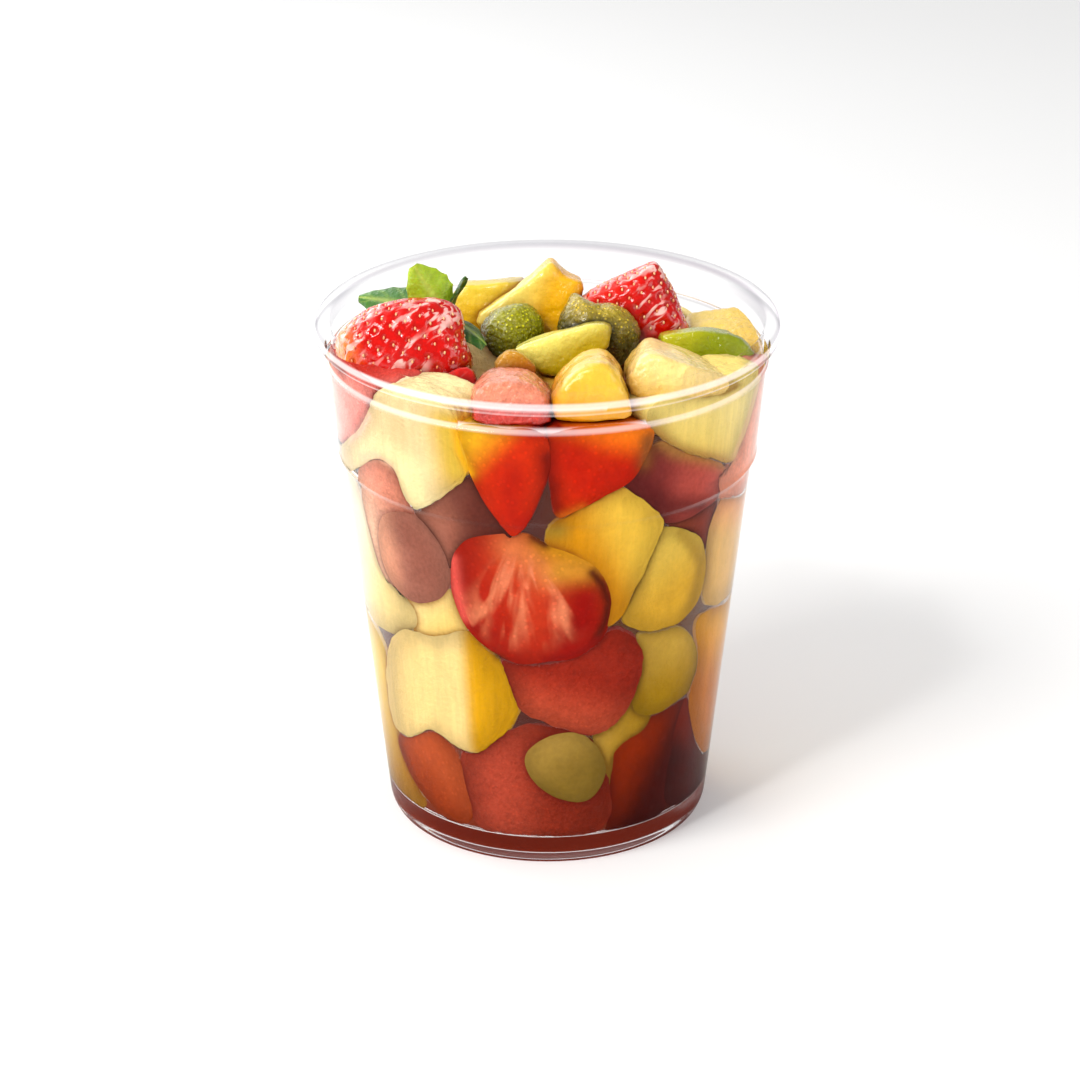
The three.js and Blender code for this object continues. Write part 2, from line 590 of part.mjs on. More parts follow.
/** One blade from its root at the origin along +X, thin, widest near its middle and bent down. */
function leafGeometry(leaf) {
  const geometry = bare(new THREE.BoxGeometry(1, 1, 1, 5, 2, 1));
  const position = geometry.attributes.position;
  for (let i = 0; i < position.count; i += 1) {
    const along = position.getX(i) + 0.5;
    const across = position.getY(i) * 2;
    const halfWidth = (leaf.width / 2) * (0.12 + 0.88 * Math.sin(Math.PI * (0.12 + 0.85 * along)));
    const bend = -leaf.curl * along ** 2 - 0.12 * leaf.width * across ** 2;
    const z = position.getZ(i) * leafThickness + bend;
    position.setXYZ(i, along * leaf.length, across * halfWidth, z);
  }
  const [twist, lift, heading] = [leaf.twist, leaf.lift, leaf.heading].map(THREE.MathUtils.degToRad);
  const turn = new THREE.Euler(twist, -lift, heading, 'ZYX');
  geometry.applyMatrix4(new THREE.Matrix4().makeRotationFromEuler(turn));
  geometry.translate(...calyxHub);
  return mergeVertices(geometry, 1e-4);
}

/** The leaves joined at their hub and cut clear of the fruit round them. */
function calyxSolid(cutters) {
  const hub = { kind: 'round', place: calyxHub, size: hubSize, turn: [0, 0, 0] };
  let calyx = solidOf(pieceGeometry(hub, 0, null));
  for (const leaf of leaves) {
    calyx = calyx.add(solidOf(leafGeometry(leaf)));
  }
  for (const cutter of cutters) {
    calyx = calyx.subtract(cutter);
  }
  return mainBody(calyx);
}

// ---- The whole ----

const fruitCup = new THREE.Group();
fruitCup.name = 'fruit_cup';
fruitCup.add(makeMesh('cup', cupGeometry(), 0xf2f5f6, 0.08));

const cutters = [];
for (const topping of toppings) {
  let solid = solidOf(toppingGeometry(topping, 0, fitGap));
  for (const cutter of cutters) {
    solid = solid.subtract(cutter);
  }
  cutters.push(solidOf(toppingGeometry(topping, fitGap, null)));
  fruitCup.add(makeMesh(topping.name, mainBody(solid), topping.colour, 0.3));
}
fruitCup.add(makeMesh('calyx_left', calyxSolid(cutters), 0x5c8a1c, 0.5));
fruitCup.add(makeMesh('fruit_fill', fillSolid(cutters), 0xc8702c, 0.35));

export default fruitCup;
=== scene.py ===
import math

import bpy
import numpy as np
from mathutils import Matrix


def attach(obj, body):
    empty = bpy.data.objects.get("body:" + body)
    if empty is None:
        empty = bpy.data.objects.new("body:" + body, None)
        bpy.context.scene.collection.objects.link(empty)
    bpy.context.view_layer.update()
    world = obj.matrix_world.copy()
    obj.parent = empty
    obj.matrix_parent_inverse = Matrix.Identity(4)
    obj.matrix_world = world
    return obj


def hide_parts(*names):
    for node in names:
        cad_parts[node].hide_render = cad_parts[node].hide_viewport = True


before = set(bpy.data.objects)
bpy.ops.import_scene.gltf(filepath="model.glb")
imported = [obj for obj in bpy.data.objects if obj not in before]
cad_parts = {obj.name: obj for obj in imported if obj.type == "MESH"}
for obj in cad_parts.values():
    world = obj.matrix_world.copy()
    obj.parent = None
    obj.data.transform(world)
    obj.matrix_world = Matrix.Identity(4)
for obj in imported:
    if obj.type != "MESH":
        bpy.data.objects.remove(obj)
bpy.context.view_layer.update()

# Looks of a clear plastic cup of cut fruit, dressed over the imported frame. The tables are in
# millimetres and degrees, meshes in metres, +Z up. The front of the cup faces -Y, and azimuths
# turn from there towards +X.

MM = 0.001

# ---- Camera and studio ----

CAMERA_TARGET = (0.0, 0.0, 0.05667)
CAMERA_DISTANCE = 0.75115
CAMERA_ELEVATION = 24.09
CAMERA_LENS = 115.16
CAMERA_SHIFT = (-0.00704, 0.01672)
SURROUND_LIGHT = 0.65
SURROUND_MIRRORED = (0.2, 1.6)  # away from the bright side of the studio, and towards it
BRIGHT_SIDE = (-0.75, 0.66, 0.0)


def make_camera():
    """Camera on the front side, looking along +Y and down at the cup."""
    data = bpy.data.cameras.new("camera")
    data.lens = CAMERA_LENS
    data.sensor_width = 36.0
    data.shift_x, data.shift_y = CAMERA_SHIFT
    data.clip_start = 0.01
    camera = bpy.data.objects.new("camera", data)
    tilt = math.radians(CAMERA_ELEVATION)
    x, y, z = CAMERA_TARGET
    back = CAMERA_DISTANCE * math.cos(tilt)
    camera.location = (x, y - back, z + CAMERA_DISTANCE * math.sin(tilt))
    camera.rotation_euler = (math.pi / 2 - tilt, 0, 0)
    bpy.context.collection.objects.link(camera)
    bpy.context.scene.camera = camera


def area_light(name, place, size, power, colour=(1, 1, 1)):
    """Soft square light at place, turned to the middle of the cup."""
    data = bpy.data.lights.new(name, "AREA")
    data.size = size
    data.energy = power
    data.color = colour
    light = bpy.data.objects.new(name, data)
    light.location = place
    aim = np.array(CAMERA_TARGET) - np.array(place)
    flat = math.hypot(aim[0], aim[1])
    light.rotation_euler = (math.atan2(flat, -aim[2]), 0, math.atan2(aim[1], aim[0]) - math.pi / 2)
    bpy.context.collection.objects.link(light)


# ---- Driving dimensions of the cup, as in the part's source ----

CUP_HEIGHT = 113.3
WALL_THICKNESS = 0.9
FOOT_RADIUS = 33.8
FOOT_WIDTH = 2.4
PUNT_DEPTH = 1.5
FLOOR_TOP = 6.0
FLOOR_FILLET = 2.4
LOWER_WALL_RADIUS = 34.97
LOWER_WALL_START = 2.0
LOWER_WALL_SLOPE = 0.109
SHOULDER_LEVEL = 82.2
SHOULDER_RISE = 1.6
SHOULDER_REACH = 0.25
UPPER_WALL_RADIUS = 44.6
UPPER_WALL_SLOPE = 0.09
BEAD_LEVEL = 104.2
BEAD_HEIGHT = 1.2
BEAD_REACH = 0.5
NECK_RADIUS = 46.9
NECK_LEVEL = 108.6
RIM_RADIUS = 49.0
RIM_ROLL_DEPTH = 4.2
RIM_INNER_RADIUS = 45.7
CUP_SEGMENTS = 256
SHOULDER_TOP = SHOULDER_LEVEL + SHOULDER_RISE

# Milky parts of the cup, by level, which also carry its painted highlight and, at the sides,
# painted grey shade: where the haze starts, is full, starts to fall and ends
HAZE_BANDS = {
    "lip": (110.1, 110.7, 111.5, 112.1),
    "sides": (108.8, 109.6, 112.6, 113.4),
    "skirt": (108.3, 108.9, 109.3, 109.9),
    "bead": (103.9, 104.7, 105.1, 105.7),
}

# ---- Driving dimensions of the fruit ----

# How square a piece is: a plain block, one with an outline on the wall, and one on top
BLOCK_POWER = 8.0
WALL_POWER = {"block": 9.0, "round": 2.6, "berry": 3.6, "half": 8.0}
TOP_POWER = {"block": 8.0, "round": 2.3, "berry": 2.6}
WALL_CORNER_CUTS = {"block": 2, "round": 3, "berry": 3, "half": 3}
TOP_CORNER_CUTS = {"block": 1, "round": 2, "berry": 2}
WALL_DEPTH = 18.0  # of a piece on the wall
WALL_INSET = 5.0  # from the wall to its middle
CUT_REACH = 2.1  # from a plain block's middle to its knife cuts, in half sizes
CUT_SPREAD = 0.3
WARP_DEPTH = 0.02
WARP_WAVES = 4.0
WALL_BITE = 0.2  # fruit pressed on the wall reaches this far into it, so that no air shows
RANK_STEP = 0.03  # each rank lies this much further in, so that the front piece shows
TOPPING_RANK = 3.4  # pieces on top
UPPER_RANK = 40.0  # pieces between the toppings, which stay clear of the wall
PRESS_BLEND = 1.3  # how softly a pressed skin turns onto the wall
LOOSE_BLEND = 0.4  # and a skin that isn't pressed on it
SWELL = 1.0  # how far a pressed skin swells
SWELL_START = (0.1, 0.45)  # start and full, as the way out from its middle in half sizes
FLOOR_BITE = 0.05  # fruit reaches this far into the floor, each rank a little less
FLOOR_STEP = 0.02
FLOOR_BLEND = 1.2  # how softly a skin turns onto the floor
WALL_GROWTH = 0.5  # how far outlines on the wall are let out, so that neighbours meet
SEAM_DEPTH = 0.35  # how deep a skin dips where a piece in front meets it
SEAM_WIDTH = 0.8
DIP_LIMIT = 5.0
DIP_ZONE = (6.0, 1.5)  # how far in from the wall a dip starts, and is full
# How wide juice and painted shade darken a skin beside its neighbour, strongly and faintly,
# on top and on the wall
SEAM_SHADE_WIDTHS = {False: (1.0, 2.0), True: (0.5, 2.2)}
LIFT_SHADE = (0.5, 3.6)  # how far off the wall juice and painted shade start to darken a skin, and do so fully
LIFT_SHADE_TOP = (107, 104)  # none of it above the first level, and all of it below the second
EDGE_SHADE = 0.3  # painted shade: how much darker a piece on the wall is at its outline than in its middle
EDGE_SHADE_START = (0.55, 1.0)  # start and full, as a share of its outline
CUT_FACE = (0.6, 0.74)  # start and full of a halved berry's cut, in half sizes before its middle
HEART_HUB = (0.07, 1.05)  # hub of its streaks, left of and above its middle, in half sizes
GRAIN_SHIFT = 0.05  # how far the grain of each piece is shifted from the last one's, in metres
CORE_INSET = 4.6
CORE_TOP = 97.0
CORE_CROWN = 26.0  # radius at which the core's top starts to fall
JUICE_LEVEL = 23.0
JUICE_BITE = 0.05  # how far the juice in the bottom reaches into the wall
JUICE_SHORE = (13, 9)  # it keeps off the wall above the first level, and is at it below the second
JUICE_SINK = 0.15  # how far it reaches into the cup's floor
FILM_GAP = 0.45  # the film's distance from the wall below the shoulder
FILM_TOP = 96.0  # juice runs up the wall between the pieces to here at the sides
FILM_SWING = 6.0  # and this much higher at the front
FILM_DEPTH = 3.0  # and here it lies this far in from the wall
ACHENE_SIZE = (0.24, 0.2, 0.42)  # half width, half thickness and half length of a berry's seed
ACHENE_DEPTH = 0.62  # how deep it sits, as a share of its pit's depth
PIT_DEPTH = 0.42
PIT_RADIUS = 0.75
LEAF_THICKNESS = 0.5

# Pieces on the side away from the front: rows, pieces in a row, and where the rows start and
# how far round they go
BACK_LEVELS = (17, 37, 56, 75, 91)
BACK_COUNT = 6
BACK_START = 92
BACK_SPAN = 176

# Pieces under the toppings, on a sunflower spiral
UPPER_COUNT = 13
UPPER_LEVEL = 99
SPIRAL_PACE = 10.2
SPIRAL_TURN = 137.5

# First seed of the pieces at the edge and of the toppings
EDGE_SEED = 120
TOPPING_SEED = 80


def tone(code):
    """Linear red, green and blue of a colour written as six hex digits."""
    srgb = np.array([int(code[i:i + 2], 16) / 255 for i in (0, 2, 4)])
    return np.where(srgb <= 0.04045, srgb / 12.92, ((srgb + 0.055) / 1.055) ** 2.4)


# ---- Pieces pressed against the wall, with their colours ----
# name, fruit, shape, azimuth and level of the middle, rank, colour, blush colour, the way that the
# blush lies (across, up), where along it the blush starts and is full, and the corners of the
# piece's outline on the wall (azimuth, level). The colours hold painted shade: pieces low down and
# on the right are darker. The blush is partly the fruit's own second colour and partly painted light
# and shade across the piece.

WALL_PIECES = [
    ("watermelon_top_left", "watermelon", "block", (-70, 98), 1, "f69184", "ffc1b4", (-1, 0.2), (-0.5, 0.9),
     [(-48, 109), (-52, 101), (-59, 95), (-67, 91), (-78, 88), (-90, 90), (-92, 106), (-75, 109.5)]),
    ("pineapple_left", "pineapple", "block", (-42, 98), 0, "f6daa2", "e6b849", (1, 0.1), (0.25, 0.8),
     [(-24, 109), (-23, 99), (-21, 94), (-27, 90), (-33, 86), (-38, 83.5), (-42, 86), (-44, 91.5),
      (-50, 92.5), (-57, 90), (-66, 86), (-75, 83), (-75, 88), (-66, 92), (-59, 96), (-53, 101),
      (-49, 109)]),
    ("strawberry_drop", "strawberry", "berry", (-12, 96), 0, "c52a08", "ecb21d", (-1, 0.9), (0.0, 0.85),
     [(-25, 103.5), (-23, 99), (-20, 94.5), (-17, 89.5), (-13, 84.5), (-10, 80.5), (-7, 83.5),
      (-3.5, 88), (-1, 94), (0, 99), (-0.5, 103.5), (-6, 105), (-20, 105)]),
    ("strawberry_red", "strawberry", "berry", (13, 97), 0.1, "c02604", "ff7f15", (0.4, 1), (0.1, 0.9),
     [(0, 103.5), (0.5, 99), (2, 92), (3, 85), (8, 87.5), (14, 90), (20, 92), (24, 95), (27, 100),
      (27, 103.5), (21, 105), (6, 105)]),
    ("grape_upper_right", "grape", "berry", (42, 90), 2, "7c2c28", "b64c40", (1, 0), (-0.7, 0.1),
     [(20, 92), (23, 97), (30, 100), (38, 98), (46, 95), (54, 91), (61, 87), (57, 82.5), (45, 80.5),
      (34, 80.5), (27, 86)]),
    ("watermelon_right", "watermelon", "block", (70, 91), 1, "e78a69", "f3a184", (1, 0.6), (-0.6, 0.5),
     [(53, 91), (60, 87.5), (64, 95), (68, 106), (90, 106), (92, 80), (76, 77), (62, 80.5), (55, 82)]),
    ("watermelon_left", "watermelon", "block", (-53, 78), 2, "d7856b", "f2b995", (-0.6, -1), (-0.5, 0.5),
     [(-44, 92), (-41, 86), (-39, 80), (-46, 68), (-50, 61), (-60, 61), (-65, 70), (-64, 82),
      (-60, 89), (-52, 92)]),
    ("grape_left", "grape", "round", (-43, 71), 0, "a06452", "e49c78", (-1, 0), (0.0, 0.9),
     [(-56, 72), (-54, 77), (-48, 80.5), (-42, 82), (-36, 80.5), (-32, 76), (-30, 70), (-32, 65),
      (-37, 62), (-44, 60.5), (-51, 62.5), (-55, 66)]),
    ("grape_dark_left", "grape", "block", (-25, 83), 3, "683024", "a46450", (-1, 0), (-0.5, 0.5),
     [(-40, 83), (-33, 87), (-22, 94.5), (-15, 90), (-9, 82), (-12, 76), (-22, 74), (-30, 70),
      (-36, 78)]),
    ("strawberry_half", "strawberry", "half", (-6, 66), 0, "a41809", "b04416", (0.7, 1), (0.15, 0.95),
     [(-20, 79), (-14, 80.5), (-8, 81.3), (-3, 80), (0, 78), (5, 77), (10, 74.5), (14, 72),
      (17, 68), (18, 63), (16, 57), (12, 53.5), (4, 51.5), (-6, 50.5), (-13, 51.5), (-20, 54.5),
      (-25, 59), (-28.5, 66), (-28, 73), (-24, 77.5)]),
    ("mango_centre", "mango", "block", (16, 78), 0.2, "d58f0d", "edbe42", (1, 0.5), (-0.3, 0.4),
     [(1, 84), (8, 88.5), (15, 91), (20, 91.5), (27, 86.5), (34, 81), (31, 76), (26, 67), (21, 60),
      (17, 58), (10, 66), (-1, 76)]),
    ("melon_slab", "melon", "block", (39, 67), 0.4, "d5a22e", "e5c052", (-0.3, 1), (-0.5, 0.9),
     [(31, 79.5), (38, 78.5), (46, 75.5), (51, 71), (52.5, 65), (51, 59), (46, 56), (37, 55),
      (28, 56.5), (22.5, 60), (25, 66), (28, 74)]),
    ("melon_right", "melon", "block", (65, 68), 1, "deac5b", "ee995b", (0.3, 1), (0, 0.8),
     [(53, 80), (64, 82), (76, 78), (90, 76), (92, 54), (70, 53), (55, 56), (52, 66)]),
    ("honeydew_left", "melon", "block", (-68, 64), 1, "ebce87", "f7e1c3", (-1, 0.6), (-0.6, 0.4),
     [(-90, 86), (-74, 84), (-66, 80), (-62, 68), (-58, 62), (-46, 61), (-43, 56), (-47, 51),
      (-58, 49), (-74, 49), (-92, 52)]),
    ("pineapple_small", "pineapple", "block", (-36, 57), 1.5, "f3cd74", "fbdd97", (-1, 1), (-0.5, 0.9),
     [(-46, 62), (-38, 64), (-31, 67), (-26, 62), (-24, 54), (-32, 50), (-45, 51), (-47, 56)]),
    ("pineapple_big", "pineapple", "block", (-36, 40), 0.5, "f1cf86", "d99e0d", (1, 0), (0.3, 0.55),
     [(-62, 41), (-56, 48.5), (-47, 52.5), (-36, 52.5), (-24, 57), (-18, 53.5), (-13.5, 48),
      (-10, 40), (-13, 34.5), (-19, 30), (-25, 26.5), (-32, 27.5), (-40, 30.5), (-47, 27.5),
      (-55, 24), (-63, 25), (-64, 33)]),
    ("watermelon_centre", "watermelon", "round", (9, 45), 1, "982615", "b94a2f", (-0.3, -1), (-0.2, 0.8),
     [(-12, 51), (-12, 45), (-9, 40.5), (-2, 37.5), (5, 35), (12, 33), (18, 33.5), (23, 37),
      (27, 42), (29, 48), (26, 54), (20, 58), (10, 56), (-2, 53)]),
    ("melon_ball", "melon", "round", (41, 45), 1.2, "a0780d", "c49c3c", (0, 1), (-0.6, 0.6),
     [(27, 55), (36, 55.5), (45, 53.5), (51, 48.5), (56, 41.5), (52, 37), (43, 35.5), (34, 35),
      (27, 39), (28, 47)]),
    ("melon_low", "melon", "block", (22, 31), 2, "ac821a", "c19b45", (-1, 0), (-0.5, 0.9),
     [(14, 35), (22, 39), (33, 38), (36, 34), (33, 30), (26, 28), (22, 24), (21, 14), (16, 10),
      (14, 20), (16, 28)]),
    ("mango_right", "mango", "block", (72, 36), 1, "b76501", "e7a208", (0.6, 1), (-0.3, 0.7),
     [(49, 54), (60, 54), (74, 51), (92, 50), (92, 14), (74, 14), (63, 20), (56, 28), (53, 36),
      (57, 42)]),
    ("strawberry_low_left", "strawberry", "berry", (-46, 18), 1, "892f0a", "ae4b25", (0.6, 1), (-0.5, 0.6),
     [(-62, 22), (-55, 25.5), (-48, 28), (-42, 31), (-36, 29), (-32, 25), (-30, 18), (-28, 9),
      (-38, 7), (-48, 11), (-58, 16)]),
    ("mango_low_left", "mango", "block", (-70, 25), 1.5, "9e6b08", "e6bd43", (-0.4, 1), (-0.8, 0.5),
     [(-92, 48), (-72, 48), (-62, 44), (-60, 34), (-61, 24), (-56, 16), (-46, 9), (-60, 5.5),
      (-74, 6), (-92, 9)]),
    ("watermelon_low", "watermelon", "block", (-5, 19), 1, "852815", "aa412c", (-1, 0), (-0.4, 0.5),
     [(-32, 20), (-29, 26.5), (-20, 30.5), (-12, 33.5), (-2, 35.5), (12, 33), (20, 26), (21.5, 14),
      (19, 7.5), (0, 6), (-22, 6.5), (-29, 12)]),
    ("green_grape", "green_grape", "round", (6, 25), 0, "7f6321", "a38138", (-0.5, 1), (-0.5, 0.9),
     [(-7, 27), (-3, 31), (4, 33.5), (11, 32.5), (16, 28.5), (18.5, 23), (16, 18), (11, 16),
      (3, 17.5), (-4, 21.5)]),
    ("strawberry_low_right", "strawberry", "berry", (36, 20), 1.5, "390400", "902701", (-1, 0.7),
     (-0.35, 0.75),
     [(20.5, 24), (25, 29), (33, 31), (36, 35.5), (44, 36), (52, 36), (54, 28), (50, 18), (47, 8),
      (34, 6.5), (20, 7)]),
    ("strawberry_low_edge", "strawberry", "berry", (64, 16), 1, "3f0300", "7c1800", (0.4, 1), (0.0, 0.8),
     [(48, 36), (55, 33), (61, 24), (70, 17), (92, 14), (92, 6), (46, 6.5), (46, 20)]),
    ("grape_right", "grape", "block", (45, 78), 3, "803020", "94442c", (-1, 0), (-0.5, 0.9),
     [(33, 82), (45, 83), (55, 83), (56, 74), (50, 69), (40, 74)]),
    ("pineapple_right", "pineapple", "block", (44, 99), 0.6, "e8c45c", "f8e088", (0.4, 1), (-0.5, 0.6),
     [(25.5, 109), (26.5, 103.5), (31.4, 100.4), (35.5, 97.8), (42.1, 95), (49.8, 92.3),
      (57.7, 88.8), (62, 91), (66.5, 96), (73, 102), (72, 108.5), (48, 109.5)]),
]

# ---- Pieces lying on top, with their colours ----
# node, fruit, shape, middle, (yaw, roll, pitch), thickness, colour, blush colour, the way that the
# blush lies (x, y, z), where along it the blush starts and is full, and the corners of the piece's
# outline (across, up) in the plane that its turn tilts back from facing the front. Most blushes are
# paler and lie towards the top left: partly the fruit's own colour, partly painted light on the side
# towards the lamps.

TOPPINGS = [
    ("strawberry_left", "strawberry", "berry", (-31, -11.3, 111.2), (0, 0, -24), 20,
     "cb0c06", "fc8d18", (-1, 0, -0.3), (0.35, 0.9),
     [(-14, -0.3), (-9.5, 4.8), (-4.5, 7.8), (2, 8.9), (8.5, 8.9), (12.6, 7.2), (13.8, 4.5), (14, 0),
      (15.8, -4.5), (15.2, -8.5), (9.5, -11.5), (1, -13), (-7, -11), (-13, -6)]),
    ("strawberry_right", "strawberry", "berry", (18.5, 15, 110.5), (0, 0, -24), 17,
     "c70503", "f02416", (-1, 0, 0.3), (-0.3, 0.8),
     [(-12, 0), (-9.5, 2.5), (-4.5, 5), (1, 7), (4.5, 9), (6.5, 6.5), (9, 2), (11, -3.5), (12.5, -7),
      (8, -11), (0, -12), (-6, -9), (-10.5, -3)]),
    ("pineapple_front", "pineapple", "block", (28.5, -24.8, 109.2), (0, 0, -12), 25,
     "dfb24d", "fbd883", (0.2, 0, 1), (-0.2, 0.35),
     [(-13, 0), (-10.5, 4), (-8, 6.5), (-4, 5), (1.5, 3), (7, 0.4), (11, -2.3), (9.5, -3.8),
      (3, -3.8), (-7, -3.8), (-12, -3.5)]),
    ("mango_front", "mango", "block", (9, -33, 109), (0, 0, -12), 22,
     "e49907", "ebbd3b", (0.2, 0, 1), (-0.2, 0.6),
     [(-8.3, -1), (-7, 2), (-3.5, 5.5), (-1, 6.8), (2.5, 7.2), (5, 5), (6.5, 1.5), (7.7, -2),
      (8, -4.5), (3, -5.4), (-7, -5.4), (-8.3, -3.5)]),
    ("watermelon_front", "watermelon", "block", (-7, -33, 106.5), (0, 0, -12), 22,
     "bd3126", "e48666", (0, 0.2, 1), (-0.1, 0.25),
     [(-8.3, 0), (-7.7, 2.8), (-5.8, 5), (-2, 5.6), (2, 5.6), (5.5, 3.8), (7.7, 1.2), (8.2, -1.5),
      (8, -3.4), (0.5, -3.8), (-8, -3.4)]),
    ("mango_peak", "mango", "block", (-3.5, 19, 109.5), (0, 0, -14), 15,
     "f5b50c", "fde66f", (-1, -0.3, 0.6), (-0.1, 0.6),
     [(-12.5, -3.5), (-7.5, 0), (-3.5, 2.8), (0, 5.2), (2.3, 7.5), (4, 8.8), (5.7, 7.5), (8, 5.4),
      (11.5, 3.8), (11, 0), (10, -9), (5, -12), (-1, -11), (-9, -8)]),
    ("kiwi_dark", "kiwi", "round", (11, 2, 109), (0, 0, -24), 15,
     "504806", "a48e26", (0.3, 0, 1), (-0.1, 0.7),
     [(-9, 0), (-8, 4), (-5.5, 8), (-3, 6), (1.5, 5), (5, 5), (7.5, 2), (8.7, -1.5), (7.5, -5),
      (4.5, -8), (1, -9), (-5, -8), (-8, -5)]),
    ("kiwi_speckled", "kiwi", "round", (-7.5, 5, 107.5), (0, 0, -24), 15,
     "474c01", "928f05", (0.3, 0, 1), (-0.5, 0.7),
     [(-6.5, 1.5), (-4, 4), (-1, 5.7), (3, 5.7), (6, 3.5), (7.2, 0.5), (6.3, -3), (3, -7),
      (-1, -8), (-5, -7), (-7, -2)]),
    ("melon_wedge", "melon", "block", (3, -9, 109), (0, 0, -16), 11,
     "b69b0b", "fcf378", (-0.5, 0, 1), (-0.1, 0.5),
     [(-10.5, -0.5), (-7.5, 1.2), (-3, 2.7), (2.5, 4.2), (6, 5.3), (9.7, 5), (10.5, 3),
      (9.5, -0.5), (5, -3), (0.5, -5.7), (-3, -6), (-6.5, -4)]),
    ("pineapple_back", "pineapple", "block", (38.5, 10, 100), (0, -6, 8), 26,
     "d9aa2a", "ecd068", (-1, 0, 1), (-0.4, 0.8),
     [(-9, 4.8), (-3, 5.3), (4, 5.3), (9, 4.5), (9.5, 0), (8, -7), (-8, -7), (-9.5, 0)]),
    ("kiwi_slice", "kiwi_flesh", "block", (33.5, -3, 106), (0, 0, -16), 11,
     "838d03", "b6b318", (-1, 0, 1), (0.1, 0.8),
     [(-10.5, 3.2), (-7, 4.2), (0, 4.7), (6, 3.7), (9.7, 0.5), (10.2, -2.5), (7, -7), (2.5, -6),
      (-2.5, -3), (-8, 0)]),
    ("mango_strip", "mango", "block", (-12, 25, 108), (0, 0, -14), 12,
     "e0b116", "e7d03f", (0, 0, 1), (-0.5, 0.9),
     [(-8, 3), (-2, 3.3), (3.5, 3.7), (7.5, 4), (8, -1), (5, -7), (-4, -8), (-8, -5)]),
    ("strawberry_under", "strawberry", "block", (-18, -20, 105.5), (0, 0, -24), 14,
     "a00804", "d42018", (0, 0, 1), (-0.2, 0.9),
     [(-5, -1), (-1, 2.5), (2.5, 3), (4.2, -1), (4.5, -5.5), (1, -8), (-4, -7)]),
    ("peach_bit", "peach", "block", (-6.5, -19, 109), (0, 0, -16), 6,
     "a45b09", "cf981d", (-0.5, 0, 1), (-0.5, 0.9),
     [(-4.7, -0.5), (-3, 2.3), (-1, 3.2), (2, 1.8), (4.7, -1), (2.5, -3.5), (-2.5, -3.5)]),
]

# Pieces that fill the edge of the heap at the front, under the toppings: name, fruit, middle,
# (width, depth, height), (yaw, roll, pitch), and colour and blush colour, which is paler and lies
# towards the top, partly as painted light.
EDGE_PIECES = [
    ("edge_pineapple", "pineapple", (-25.5, -26.5, 102.8), (13, 14, 11), (-45, 8, 0),
     ("ecd088", "f8e8b8")),
    ("edge_mango", "mango", (-20.5, -31, 102.8), (11, 12, 11), (-32, 0, 0), ("d78314", "eaa646")),
]
